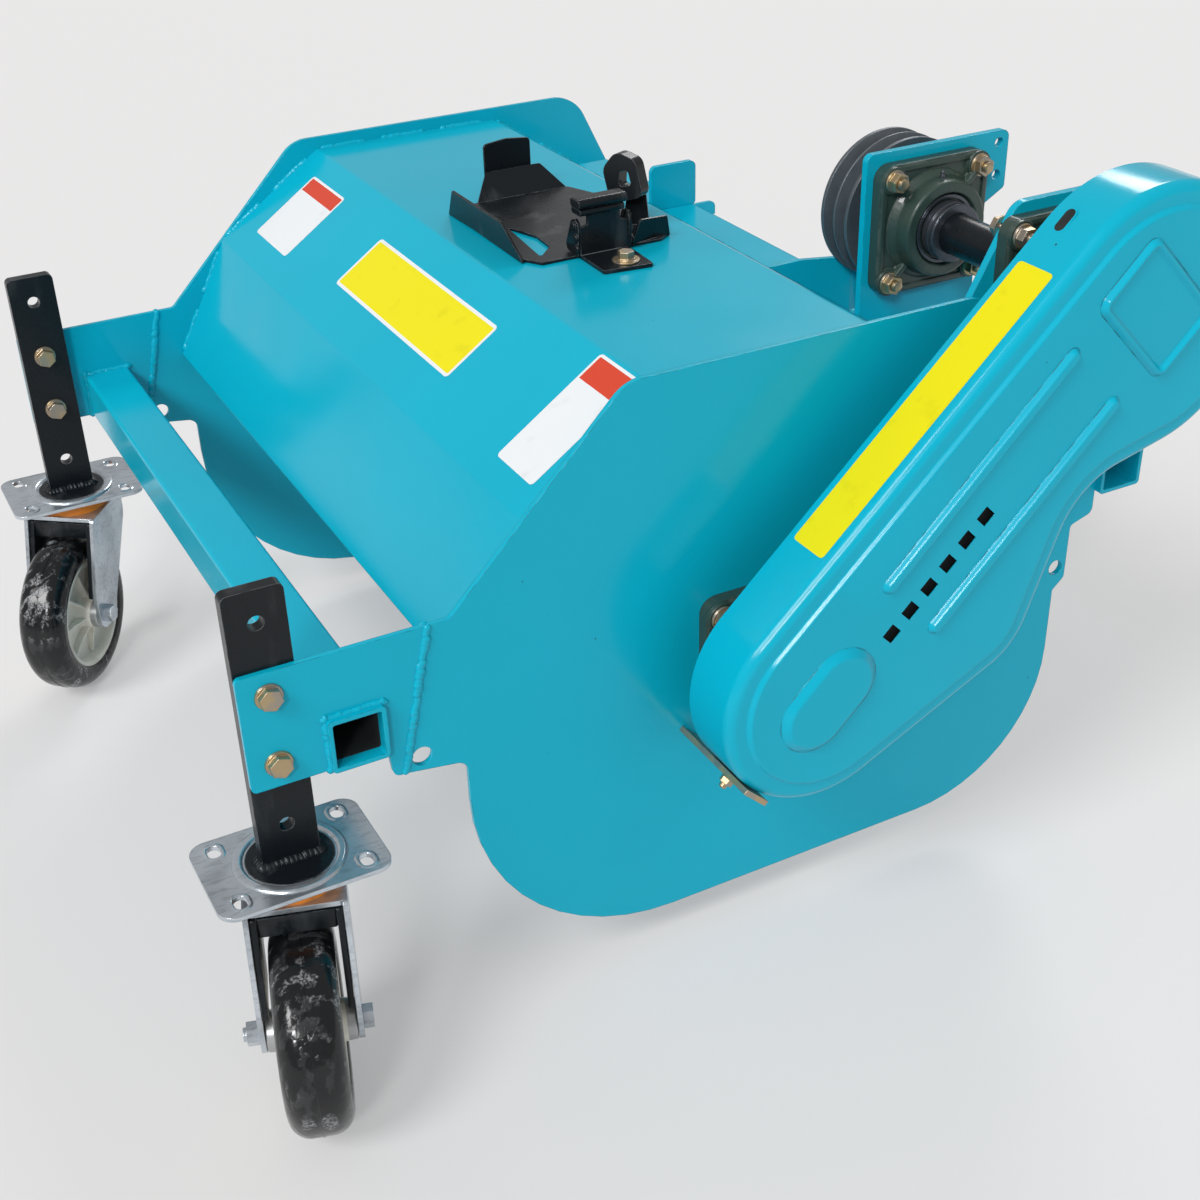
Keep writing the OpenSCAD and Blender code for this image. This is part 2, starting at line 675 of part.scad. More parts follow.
module pulley(d, x, y, z) {
    r = d / 2;
    hub = shaft_d / 2 + 14;
    grooves = [for (k = [-1, 1]) each groove(pulley_w / 2 + k * groove_pitch / 2, r)];
    bore = [[shaft_d / 2, pulley_w], [shaft_d / 2, 0]];
    web = r - 22 < hub + 10 ? bore :
        [[r - 20, pulley_w], [r - 22, pulley_w / 2 + 6], [hub + 4, pulley_w / 2 + 6], [hub, pulley_w],
         each bore, [hub, 0], [hub + 4, pulley_w / 2 - 6], [r - 22, pulley_w / 2 - 6], [r - 20, 0]];
    axis_x(x, y, z) rotate_extrude() polygon(concat([[r, 0]], grooves, [[r, pulley_w]], web));
}

module driven_pulley() {
    color([0.32, 0.33, 0.35]) pulley(driven_d, pulley_x, rotor_y, rotor_z);
}

module drive_pulley() {
    color([0.32, 0.33, 0.35]) pulley(drive_d, pulley_x, jack_y, jack_z);
}

module input_pulley() {
    color([0.32, 0.33, 0.35]) pulley(input_d, input_x, jack_y, jack_z);
}

module jackshaft() {
    first = input_x - 6;
    color(satin_black) axis_x(first, jack_y, jack_z)
        cylinder(d = shaft_d, h = pulley_x + pulley_w + 5 - first);
}

module jackshaft_rings() {
    color([0.62, 0.63, 0.65]) for (x = [inner_face_x, outer_face_x]) bearing_ring(x, jack_y, jack_z);
}

// Two V-belts: an arc on each pulley and two straight runs with the same wedge section
function belt_section(r, inset = 0) =
    let (low = belt_w / 2 - belt_h * tan(groove_angle) - inset, top = belt_w / 2 - inset)
    [[r - belt_h + inset, -low], [r - inset, -top], [r - inset, top], [r - belt_h + inset, low]];

module belt() {
    small = driven_d / 2;
    large = drive_d / 2;
    lead = asin((large - small) / drive_len);
    run = sqrt(drive_len * drive_len - (large - small) * (large - small));
    rotate([0, 0, 90 + lead]) rotate_extrude(angle = 180 - 2 * lead) polygon(belt_section(small));
    translate([drive_len, 0, 0]) rotate([0, 0, -90 - lead])
        rotate_extrude(angle = 180 + 2 * lead) polygon(belt_section(large));
    for (s = [-1, 1]) rotate([0, 0, s * lead]) translate([-3, 0, 0]) rotate([90, 0, 90])
        linear_extrude(run + 6) polygon([for (p = belt_section(small, 0.1)) [s * p[0], p[1]]]);
}

module drive_belts() {
    color([0.06, 0.06, 0.06]) for (k = [-1, 1])
        translate([pulley_x + pulley_w / 2 + k * groove_pitch / 2, rotor_y, rotor_z])
            rotate([90, 0, 90]) rotate([0, 0, drive_angle]) belt();
}

// Pressed belt cover: two round ends with an S-shaped neck below
cover_r1 = driven_d / 2 + cover_gap;
cover_r2 = drive_d / 2 + cover_gap;
neck = [jack_y - 63, jack_z - 140];
bulge = [rotor_y + 207, rotor_z - 14];
low_end = [rotor_y, rotor_z];
top_end = [jack_y, jack_z];

// Direction of the tangent from point p to a circle, touching it on the right of the way
function touch(p, c, r) = let (d = c - p) atan2(d[1], d[0]) - asin(r / norm(d));
// Corners that wrap an arc about c between two edge directions
function wrap(c, r, from, to, count = 3) = let (part = (to - from) / count)
    [for (k = [0:count - 1]) let (a = from + part * (k + 0.5) - 90)
        [each (c + r / cos(part / 2) * dir2(a)), r, if (k < count - 1) true]];

cover_corners = let (top_edge = drive_angle + asin((cover_r2 - cover_r1) / drive_len) + 180)
    let (low_edge = atan2(bulge[1] - low_end[1], bulge[0] - low_end[0])
        + asin(cover_r1 / norm(low_end - bulge)))
    let (neck_edge = touch(neck, top_end, cover_r2))
    concat(wrap(low_end, cover_r1, top_edge, 360 + low_edge, 4), [[each bulge, 70], [each neck, 80]],
        wrap(top_end, cover_r2, neck_edge, top_edge, 4));

// Cover skin as rings of [inset, x]: up the wall, round the fold, over the rim to the raised panel
rim_w = 7;
cover_rings = concat([[0, cover_x]],
    [for (a = [0:22.5:90]) [fold_r * (1 - cos(a)), face_x - fold_r + fold_r * sin(a)]],
    [[fold_r + rim_w, face_x], [fold_r + rim_w + press_h, face_x + press_h]]);
under_rings = [for (i = [len(cover_rings) - 1:-1:0])
    [cover_rings[i][0] + (i == len(cover_rings) - 1 ? 0 : cover_t),
     i == 0 ? cover_x : cover_rings[i][1] - cover_t]];

module cover_shell() {
    rings = concat(cover_rings, under_rings);
    points = [for (k = rings) [for (p = outline(cover_corners, k[0], 12)) [k[1], p[0], p[1]]]];
    n = len(points[0]);
    walls = [for (k = [0:len(rings) - 1], i = [0:n - 1])
        [k * n + i, (k + 1) % len(rings) * n + i, (k + 1) % len(rings) * n + (i + 1) % n,
         k * n + (i + 1) % n]];
    polyhedron([for (ring = points) each ring], walls);
}

// Raised flat panel inside the rim, with its cooling slots
module cover_panel() {
    inset = cover_rings[len(cover_rings) - 1][0];
    difference() {
        plate_at(face_x + press_h - cover_t, cover_t) polygon(outline(cover_corners, inset, 12));
        for (k = [0:vent_count - 1]) on_face(80 + k * vent_pitch, 0)
            translate([-vent_w / 2, -vent_w / 2, -3 * press_h]) cube([vent_w, vent_w, 6 * press_h]);
    }
}

// Places on the cover's face: s along the line of the axes from the rotor, t across it
module on_face(s, t, turn = 0) {
    translate([face_x + press_h, rotor_y, rotor_z]) rotate([90, 0, 90]) rotate([0, 0, drive_angle])
        translate([s, t, 0]) rotate([0, 0, turn]) children();
}

vent_w = 13;
vent_pitch = 25.4;
rib_tilt = 4;
rib_l = 245;
rib_w = 18;
rib_t = 42;
boss_l = 100;
boss_w = 66;
patch_w = 96;

module belt_cover() {
    middle = drive_len * 0.54;
    color(teal) {
        cover_shell();
        cover_panel();
        for (t = [-rib_t, rib_t]) on_face(middle, t, rib_tilt) translate([0, 0, -1])
            linear_extrude(press_h) rounded(rib_l, rib_w, rib_w / 2 - 0.5);
        on_face(0, 0) translate([0, 0, -1]) linear_extrude(press_h + 1)
            rounded(boss_l, boss_w, boss_w / 2 - 0.5);
        on_face(drive_len, 6) translate([0, 0, -1]) linear_extrude(press_h)
            rounded(patch_w, patch_w, 5);
    }
}

// Flat bars on the side plate that carry the cover: [centre, radius, direction from the centre]
bracket_w = 30;
bracket_t = 5;
cover_mounts = [[low_end, cover_r1, 226], [top_end, cover_r2, -40]];

module cover_bolt_place(c, r, a) {
    translate([cover_x + 24, c[0] + r * cos(a), c[1] + r * sin(a)]) rotate([a, 0, 0]) rotate([-90, 0, 0]) children();
}

module cover_brackets() {
    color(bolt_gold) {
        bracket(cover_mounts[0], plate_out);
        bracket(cover_mounts[1], outer_face_x);
        translate([outer_face_x, jack_y, jack_z]) rotate([cover_mounts[1][2], 0, 0])
            translate([0, flange_w * 0.73, -12]) cube([8, cover_r2 + bracket_t - flange_w * 0.73, 24]);
    }
}

module bracket(b, from) {
    difference() {
        translate([from, b[0][0], b[0][1]]) rotate([b[2], 0, 0])
            translate([0, b[1] + 0.3, -bracket_w / 2]) cube([face_x + 2 - from, bracket_t, bracket_w]);
        cover_bolt_place(b[0], b[1], b[2]) cylinder(d = 8 + 2 * bolt_fit, h = 40, center = true);
    }
}

module cover_bolts() {
    color(bolt_gold) for (b = cover_mounts) cover_bolt_place(b[0], b[1], b[2]) {
        translate([0, 0, 0.02]) cylinder(d = 8, h = bracket_t + 11);
        translate([0, 0, bracket_t + 0.3]) cylinder(r = 7.5, h = 7, $fn = 6);
    }
}

// Holder tray on the top panel

foot_x = tray_x + tray_l / 2 + 14;
foot_l = 58;
foot_w = 48;
foot_h = 59;
foot_y = tray_y + 60;

module tray_wall(points) {
    polygon(points);
}

module holder_tray() {
    left = tray_x - tray_l / 2;
    floor_z = top_z + 0.3;
    lean = 14;
    color(satin_black) translate([left, tray_y, floor_z]) {
        linear_extrude(tray_t) difference() {
            polygon([[0, 0], [tray_l - 20, 0], [tray_l, 16], [tray_l, tray_w - 10], [tray_l - 24, tray_w],
                [20, tray_w], [0, tray_w - 20]]);
            polygon([[tray_l - 62, 6], [tray_l - 22, 6], [tray_l - 40, 34]]);
        }
        rotate([90, 0, 0]) translate([0, 0, -tray_t]) linear_extrude(tray_t)
            polygon([[0, 0], [tray_l - 20, 0], [tray_l - 34, tray_h], [0, tray_h]]);
        translate([0, 0, tray_t - 1]) rotate([0, -lean, 0]) rotate([90, 0, 90]) linear_extrude(tray_t)
            polygon([[24, 0], [tray_w - 20, 0], [tray_w - 40, tray_h], [36, tray_h]]);
        translate([-18, tray_w - 66, 0]) {
            linear_extrude(tray_t) square([20, 50]);
            rotate([90, 0, 90]) linear_extrude(tray_t)
                polygon(outline([[0, 0, 0], [50, 0, 0], [50, tray_h + 20, 8], [25, tray_h + 24, 40], [0, tray_h + 20, 8]]));
        }
        translate([tray_l - 30, tray_w - 24, tray_t - 1]) rotate([0, 0, 65]) rotate([90, 0, 0]) linear_extrude(tray_t)
            polygon(outline([[-46, 0, 0], [16, 0, 0], [10, tray_h + 6, 6], [-8, tray_h + 30, 14], [-28, tray_h + 30, 14], [-34, tray_h, 8]]));
    }
}

module holder_foot() {
    color(satin_black) translate([foot_x, foot_y, top_z]) {
        difference() {
            cube([foot_l, foot_w, 4]);
            translate([foot_l * 0.62, foot_w * 0.6, -1]) cylinder(d = 11, h = 6);
        }
        cube([4, foot_w, foot_h]);
        translate([-18, 0, foot_h - 4]) cube([22, foot_w, 4]);
        for (y = [0, foot_w - 4]) translate([-13.5, y, 0]) cube([15.5, 4, foot_h]);
    }
}

module holder_bolts() {
    color(bolt_gold) {
        translate([foot_x + foot_l * 0.62, foot_y + foot_w * 0.6, top_z + 4]) rotate([0, -90, 0])
            hex_bolt(10, 4, false);
    }
}

placed() side_plate(1);  // side_plate_right
placed() side_plate(-1);  // side_plate_left
placed() front_arm(1);  // front_arm_right
placed() front_arm(-1);  // front_arm_left
placed() deck_shroud();
placed() front_cross_tube();
placed() rear_cross_tube();
placed() rear_flange_bar();
placed() hitch_lug();
placed() hitch_side_plate();
placed() bearing_plate_inner();
placed() bearing_plate_outer();
placed() caster_leg(1);  // caster_leg_right
placed() caster_leg(-1);  // caster_leg_left
placed() leg_bolts();
placed() leg_nuts();
placed() caster_plate(1);  // caster_plate_right
placed() caster_plate(-1);  // caster_plate_left
placed() caster_fork(1);  // caster_fork_right
placed() caster_fork(-1);  // caster_fork_left
placed() swivel_seal(1);  // swivel_seal_right
placed() swivel_seal(-1);  // swivel_seal_left
placed() caster_axle(1);  // caster_axle_right
placed() caster_axle(-1);  // caster_axle_left
placed() wheel_core(1);  // wheel_core_right
placed() wheel_core(-1);  // wheel_core_left
placed() wheel_tyre(1);  // wheel_tyre_right
placed() wheel_tyre(-1);  // wheel_tyre_left
placed() rotor_bearing(1);  // rotor_bearing_right
placed() rotor_bearing(-1);  // rotor_bearing_left
placed() jackshaft_bearing_inner();
placed() jackshaft_bearing_outer();
placed() bearing_bolts();
placed() rotor_tube();
placed() rotor_stub_shafts();
placed() flail_lugs();
placed() flail_pins();
placed() rotor_bearing_rings();
placed() driven_pulley();
placed() flail(0);  // flail_1
placed() flail(1);  // flail_2
placed() flail(2);  // flail_3
placed() flail(3);  // flail_4
placed() flail(4);  // flail_5
placed() flail(5);  // flail_6
placed() flail(6);  // flail_7
placed() flail(7);  // flail_8
placed() jackshaft();
placed() jackshaft_rings();
placed() input_pulley();
placed() drive_pulley();
placed() drive_belts();
placed() belt_cover();
placed() cover_brackets();
placed() cover_bolts();
placed() holder_tray();
placed() holder_foot();
placed() holder_bolts();
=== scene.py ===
"""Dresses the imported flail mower: finishes, pressed cover, bearings, casters, tray, bolts, welds and stickers."""

import json
import math
import random

import bmesh
import bpy
from mathutils import Matrix, Vector


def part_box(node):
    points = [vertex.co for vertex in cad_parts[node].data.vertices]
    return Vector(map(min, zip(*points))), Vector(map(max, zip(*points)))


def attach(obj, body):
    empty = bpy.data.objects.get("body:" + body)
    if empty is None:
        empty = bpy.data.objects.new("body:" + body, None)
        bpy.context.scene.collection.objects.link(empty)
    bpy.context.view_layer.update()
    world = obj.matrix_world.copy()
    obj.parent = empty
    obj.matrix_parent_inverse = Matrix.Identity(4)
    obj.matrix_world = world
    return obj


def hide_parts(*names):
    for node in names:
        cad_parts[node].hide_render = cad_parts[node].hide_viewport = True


bl_info = {
    "name": "Flail mower",
    "version": (1, 0, 0),
    "blender": (4, 5, 0),
    "location": "View3D > Sidebar > Flail mower",
    "description": "Dresses the packed flail mower with its finishes and pressed, welded and bolted details",
    "category": "Object",
}

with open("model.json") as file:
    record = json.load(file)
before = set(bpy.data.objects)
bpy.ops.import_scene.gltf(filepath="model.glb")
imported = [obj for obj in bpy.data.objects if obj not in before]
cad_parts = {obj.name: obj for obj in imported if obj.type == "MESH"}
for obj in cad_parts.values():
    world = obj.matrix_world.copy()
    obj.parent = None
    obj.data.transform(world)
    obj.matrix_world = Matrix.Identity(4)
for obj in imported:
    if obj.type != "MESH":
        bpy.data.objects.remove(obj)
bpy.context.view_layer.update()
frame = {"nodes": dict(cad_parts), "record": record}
NODES = frame["nodes"]

# Deck frame in millimetres: X from the middle of the deck, Y from its front corner, Z from the skids
PLATE_OUT, PLATE_IN, TUBE_BACK = 400.0, 395.0, -63.0
MID_X = PLATE_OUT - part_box("side_plate_right")[1].x * 1000
MID_Y = TUBE_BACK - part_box("front_cross_tube")[1].y * 1000
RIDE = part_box("side_plate_right")[0].z * 1000
MM = 0.001
PLACE = Matrix.Scale(MM, 4) @ Matrix.Translation((-MID_X, -MID_Y, RIDE))
# Turns a shape drawn in X and Y with its height along Z onto a side plate: Y, Z and outwards along X
ON_SIDE = Matrix(((0, 0, 1, 0), (1, 0, 0, 0), (0, 1, 0, 0), (0, 0, 0, 1)))
# Stands a profile drawn in X and Y upright, with Y as its height
UPRIGHT = Matrix(((1, 0, 0, 0), (0, 0, -1, 0), (0, 1, 0, 0), (0, 0, 0, 1)))

# Axes of rotor and jackshaft and corners of the deck sheet, in Y and Z
ROTOR = Vector((298, 268))
JACK = Vector((622, 543))
TOP_Z = 541.0
SHEET = [(2, 328), (69, 456), (194, TOP_Z), (419, TOP_Z), (590, 430)]
LEG_X, LEG_Y, LEG_W, LEG_T, CASTER_TOP = 389.0, -154.0, 50.0, 12.0, 198.0
LEG_HOLES = (300.0, 364.0)
WHEEL_R, WHEEL_W, CORE_R, TRAIL = 92.5, 56.0, 65.5, 54.0
SIDES = ("right", "left")
SWIVEL = {"right": -17.0, "left": -38.0}
# Square-flange bearings: node, side, seat from the middle, axis, plate behind the seat
SEATS = (("rotor_bearing_right", 1, PLATE_OUT, ROTOR, 5.0), ("rotor_bearing_left", -1, PLATE_OUT, ROTOR, 5.0),
         ("jackshaft_bearing_inner", 1, 183.0, JACK, 8.0), ("jackshaft_bearing_outer", 1, 368.0, JACK, 8.0))
FLANGE_W, FLANGE_T, FLANGE_BOLT = 130.0, 15.0, 51.0

# What the colours in the panel share
COLOUR = {"subtype": "COLOR", "size": 3, "min": 0, "max": 1}


class MowerLooks(bpy.types.PropertyGroup):
    """Colours and finish of the mower"""

    teal: bpy.props.FloatVectorProperty(
        name="Deck enamel", description="Colour of the sprayed deck, tubes and belt cover",
        default=(0.002, 0.385, 0.535), **COLOUR)
    black: bpy.props.FloatVectorProperty(
        name="Black paint", description="Colour of the legs, tray and jackshaft",
        default=(0.0065, 0.0090, 0.0115), **COLOUR)
    gold: bpy.props.FloatVectorProperty(
        name="Yellow zinc", description="Colour of the plated bolts and cover bars",
        default=(0.66, 0.50, 0.29), **COLOUR)
    zinc: bpy.props.FloatVectorProperty(
        name="White zinc", description="Colour of the caster plates and forks",
        default=(0.56, 0.61, 0.66), **COLOUR)
    label: bpy.props.FloatVectorProperty(
        name="Sticker yellow", description="Colour of the blank yellow stickers",
        default=(0.76, 0.68, 0.006), **COLOUR)
    wave: bpy.props.FloatProperty(
        name="Sheet waves", description="Height of the waves in the welded sheet",
        subtype="DISTANCE", unit="LENGTH", min=0, max=0.003, default=0.0007)
    wear: bpy.props.FloatProperty(
        name="Edge wear", description="Share of the cut edges that has lost its enamel",
        subtype="FACTOR", min=0, max=1, default=0.75)
    weld_pitch: bpy.props.FloatProperty(
        name="Weld ripple", description="Distance between the ripples of a weld, in millimetres",
        min=2, max=12, default=4.2)
    floor: bpy.props.FloatVectorProperty(
        name="Floor", description="Colour of the studio floor",
        default=(0.745, 0.738, 0.738), **COLOUR)


# Shader maths


def plug(tree, place, value):
    """Link a field to a socket, or set the socket's own value."""
    if isinstance(value, Field):
        tree.links.new(value.socket, place)
    else:
        place.default_value = value


class Field:
    """A shader socket that takes part in Python expressions."""

    def __init__(self, tree, socket):
        self.tree = tree
        self.socket = socket

    def math(self, operation, *values):
        node = self.tree.nodes.new("ShaderNodeMath")
        node.operation = operation
        for place, value in zip(node.inputs, values):
            plug(self.tree, place, value)
        return Field(self.tree, node.outputs[0])

    def __add__(self, other):
        return self.math("ADD", self, other)

    __radd__ = __add__

    def __sub__(self, other):
        return self.math("SUBTRACT", self, other)

    def __rsub__(self, other):
        return self.math("SUBTRACT", other, self)

    def __mul__(self, other):
        return self.math("MULTIPLY", self, other)

    __rmul__ = __mul__


class Finish:
    """A material under construction around one shader."""

    def __init__(self, name):
        self.material = bpy.data.materials.new(name)
        self.material.use_nodes = True
        self.tree = self.material.node_tree
        self.tree.nodes.clear()
        surface = self.add("BsdfPrincipled")
        self.shader = surface.socket.node
        self.add("OutputMaterial", None, {"Surface": surface})
        self.point = self.add("TexCoord", out="Object")

    def add(self, kind, settings=None, inputs=None, out=0):
        """Any node but the maths: its settings first, then its sockets."""
        node = self.tree.nodes.new("ShaderNode" + kind)
        for name, value in (settings or {}).items():
            setattr(node, name, value)
        for name, value in (inputs or {}).items():
            plug(self.tree, node.inputs[name], value)
        return Field(self.tree, node.outputs[out]) if node.outputs else None

    def set(self, **sockets):
        for name, value in sockets.items():
            plug(self.tree, self.shader.inputs[name.replace("_", " ")], value)
        return self.material

    def noise(self, scale, detail=3.0, stretch=None):
        point = self.point
        if stretch:
            point = self.add("Mapping", None, {"Vector": point, "Scale": stretch})
        return self.add("TexNoise", None, {"Vector": point, "Scale": scale, "Detail": detail}, "Fac")

    def spots(self, scale, size):
        """Soft dots, one in each cell of about 1 / scale metres."""
        far = self.add("TexVoronoi", None, {"Vector": self.point, "Scale": scale}, "Distance")
        return self.step(far, size, size * 0.6)

    def step(self, value, low, high):
        return self.add("MapRange", {"interpolation_type": "SMOOTHSTEP"},
                        {"Value": value, "From Min": low, "From Max": high})

    def patches(self, low, high, *noise):
        """Patches where a noise rises from low to high."""
        return self.step(self.noise(*noise), low, high)

    def mix(self, factor, first, second):
        return self.add("Mix", {"data_type": "RGBA"},
                        {0: factor, 6: rgba(first), 7: rgba(second)}, 2)

    def rounded(self, radius):
        """Normal with its sharp edges rounded, and how close the surface is to such an edge."""
        soft = self.add("Bevel", {"samples": 6}, {"Radius": radius})
        flat = self.add("NewGeometry", out="Normal")
        turned = self.add("VectorMath", {"operation": "DOT_PRODUCT"}, {0: soft, 1: flat}, 1)
        return soft, self.step(1 - turned, 0.02, 0.25)

    def bump(self, height, normal=None):
        """Normal bent by a height in metres."""
        inputs = {"Height": height, "Distance": 1.0, "Strength": 1.0}
        if normal:
            inputs["Normal"] = normal
        return self.add("Bump", None, inputs)

    def grain(self, height, scale, detail, normal=None):
        """Normal bent by a noise."""
        return self.bump(self.noise(scale, detail) * height, normal)


def rgba(colour):
    return colour if isinstance(colour, Field) else (*colour, 1.0)


def shade(colour, factor):
    return tuple(min(1.0, c * factor) for c in colour)


def looks():
    return bpy.context.scene.mower_looks


def made_once(make):
    """Keep a finish's material for the next piece that asks for it."""
    def finish(*args):
        name = "_".join(["mower", make.__name__, *args])
        return bpy.data.materials.get(name) or make(Finish(name), *args)
    return finish


@made_once
def teal_enamel(f):
    soft, edge = f.rounded(0.0014)
    chip = edge * f.patches(0.62 - 0.2 * looks().wear, 0.72 - 0.2 * looks().wear, 70, 4)
    speck = f.spots(48, 0.055) * f.patches(0.60, 0.66, 9, 2)
    tone = f.mix(f.noise(5, 2), shade(looks().teal, 0.94), shade(looks().teal, 1.06))
    colour = f.mix(chip * 0.85, f.mix(speck * 0.8, tone, (0.004, 0.06, 0.08)), (0.010, 0.035, 0.040))
    wave = f.noise(6.5, 1) * looks().wave * 2
    peel = f.noise(420, 2) * 0.00002
    return f.set(Base_Color=colour, Roughness=0.12 + 0.10 * f.noise(14, 3) + 0.3 * chip,
                 Specular_IOR_Level=0.22, Normal=f.bump(wave + peel, soft))


@made_once
def black_paint(f):
    soft, edge = f.rounded(0.0012)
    scuff = f.patches(0.56, 0.70, 30, 5, (1, 1, 0.25))
    # Light edges: partly bare steel where the paint is worn through, partly a painted highlight along the rounded
    # edges.
    bare_edge_and_highlight = edge * f.patches(0.36, 0.50, 60, 3)
    colour = f.mix(0.75 * bare_edge_and_highlight, f.mix(0.45 * scuff, looks().black, (0.060, 0.066, 0.072)), (0.22, 0.24, 0.26))
    return f.set(Base_Color=colour, Roughness=0.20 + 0.16 * f.noise(40, 3), Specular_IOR_Level=0.25,
                 Normal=f.grain(0.00003, 600, 2, soft))


@made_once
def yellow_zinc(f):
    soft, edge = f.rounded(0.0007)
    rainbow = f.patches(0.40, 0.62, 55, 2)
    tone = f.mix(rainbow, shade(looks().gold, 0.72), (0.36, 0.32, 0.27))
    colour = f.mix(0.5 * f.patches(0.58, 0.70, 140, 3), tone, (0.42, 0.28, 0.17))
    return f.set(Base_Color=f.mix(0.3 * edge, colour, (0.85, 0.72, 0.50)), Metallic=0.85,
                 Roughness=0.26 + 0.16 * f.noise(120, 3), Normal=f.grain(0.00002, 900, 2, soft))


@made_once
def white_zinc(f):
    soft, edge = f.rounded(0.001)
    spangle = f.noise(60, 4)
    stain = f.patches(0.46, 0.66, 15, 5)
    rub = f.patches(0.53, 0.60, 260, 8, (1, 0.25, 1))
    colour = f.mix(0.40 * stain + 0.16 * rub, f.mix(spangle, shade(looks().zinc, 0.90), shade(looks().zinc, 1.2)),
                   (0.045, 0.060, 0.072))
    return f.set(Base_Color=f.mix(0.5 * edge, colour, (0.82, 0.85, 0.88)), Metallic=0.80,
                 Roughness=0.12 + 0.20 * f.noise(45, 4), Normal=f.grain(0.00003, 300, 3, soft))


@made_once
def bearing_iron(f):
    soft, edge = f.rounded(0.0025)
    cast = f.noise(260, 4)
    colour = f.mix(f.noise(12, 3), (0.016, 0.034, 0.027), (0.036, 0.066, 0.052))
    colour = f.mix(0.45 * edge * f.patches(0.45, 0.6, 80, 3), colour, (0.13, 0.15, 0.14))
    return f.set(Base_Color=colour, Roughness=0.30 + 0.20 * cast, Coat_Weight=0.2,
                 Normal=f.bump(cast * 0.00035 + f.noise(40, 2) * 0.0006, soft))


@made_once
def turned_steel(f):
    soft, _ = f.rounded(0.0008)
    lines = f.noise(900, 2, (1, 0.02, 0.02))
    colour = f.mix(f.noise(30, 4), (0.34, 0.345, 0.35), (0.52, 0.53, 0.54))
    return f.set(Base_Color=colour, Metallic=0.65, Roughness=0.26 + 0.18 * lines,
                 Normal=f.bump(lines * 0.00003, soft))


@made_once
def blued_steel(f):
    soft, edge = f.rounded(0.0006)
    colour = f.mix(f.noise(45, 4), (0.050, 0.056, 0.068), (0.13, 0.14, 0.16))
    return f.set(Base_Color=f.mix(0.6 * edge, colour, (0.42, 0.45, 0.50)), Metallic=0.7,
                 Roughness=0.18 + 0.16 * f.noise(90, 3), Normal=f.grain(0.00003, 400, 2, soft))


@made_once
def dark_steel(f):
    soft, edge = f.rounded(0.001)
    rust = f.patches(0.58, 0.72, 18, 5)
    colour = f.mix(0.35 * rust, f.mix(f.noise(50, 4), (0.085, 0.100, 0.115), (0.17, 0.19, 0.21)),
                   (0.11, 0.055, 0.03))
    return f.set(Base_Color=f.mix(0.5 * edge, colour, (0.40, 0.40, 0.40)), Metallic=0.6,
                 Roughness=0.34 + 0.2 * f.noise(70, 3), Normal=f.grain(0.00006, 350, 3, soft))


@made_once
def belt_rubber(f):
    dust = f.patches(0.5, 0.75, 60, 4)
    return f.set(Base_Color=f.mix(0.4 * dust, (0.012, 0.012, 0.012), (0.06, 0.058, 0.055)),
                 Roughness=0.62 + 0.15 * f.noise(80, 3), Normal=f.grain(0.00008, 700, 3))


@made_once
def tyre_rubber(f):
    smear = f.patches(0.46, 0.62, 15, 4)
    scratch = f.patches(0.50, 0.60, 120, 8, (1, 0.6, 0.4))
    grain = f.patches(0.40, 0.62, 420, 4)
    worn = smear * scratch * grain
    dirt = f.mix(f.noise(60, 4), (0.17, 0.18, 0.19), (0.42, 0.43, 0.44))
    colour = f.mix(0.85 * worn + 0.06 * scratch, (0.005, 0.0055, 0.0065), dirt)
    return f.set(Base_Color=colour, Roughness=0.10 + 0.34 * worn + 0.10 * f.noise(60, 3), Specular_IOR_Level=0.45,
                 Normal=f.bump(f.noise(60, 6) * 0.0007 + scratch * 0.0002))


@made_once
def cream_core(f):
    grime = f.patches(0.52, 0.72, 24, 5)
    colour = f.mix(0.40 * grime, (0.80, 0.78, 0.70), (0.38, 0.33, 0.26))
    return f.set(Base_Color=colour, Roughness=0.36 + 0.2 * grime, Normal=f.grain(0.00004, 400, 2))


@made_once
def orange_seal(f):
    colour = f.mix(f.patches(0.5, 0.72, 40, 4), (0.86, 0.26, 0.02), (0.46, 0.17, 0.04))
    return f.set(Base_Color=colour, Roughness=0.42 + 0.1 * f.noise(90, 2), Normal=f.grain(0.00005, 500, 2))


@made_once
def sticker_film(f, tone):
    base = {"yellow": tuple(looks().label), "white": (0.72, 0.75, 0.77), "red": (0.60, 0.060, 0.028)}[tone]
    colour = f.mix(0.5 * f.patches(0.56, 0.74, 35, 4), base, shade(base, 0.82))
    return f.set(Base_Color=colour, Roughness=0.30 + 0.12 * f.noise(50, 2), Specular_IOR_Level=0.18,
                 Normal=f.grain(0.00012, 45, 2))


# Painted shade: a near-black that stands in for the shade inside the belt cover, behind its vents, in its wall holes
# and in the front tube's ends
@made_once
def dark_hollow(f):
    return f.set(Base_Color=f.mix(f.noise(60, 3), (0.004, 0.006, 0.007), (0.010, 0.013, 0.014)),
                 Roughness=0.7 + 0.1 * f.noise(80, 2))


NODE_FINISH = {
    "teal_paint": teal_enamel, "black_paint": black_paint, "yellow_zinc": yellow_zinc,
    "white_zinc": white_zinc, "bearing_iron": bearing_iron, "steel": turned_steel,
    "dark_steel": dark_steel, "belt_rubber": belt_rubber, "tyre_rubber": tyre_rubber,
    "cream_core": cream_core, "orange_seal": orange_seal,
}


# Shapes in millimetres


def heading(angle):
    """Direction at an angle in degrees."""
    return Vector((math.cos(math.radians(angle)), math.sin(math.radians(angle))))


def spun(angle, axis="Z"):
    """Matrix of a turn in degrees."""
    return Matrix.Rotation(math.radians(angle), 4, axis)


def moved(x=0.0, y=0.0, z=0.0):
    """Matrix of a shift."""
    return Matrix.Translation((x, y, z))


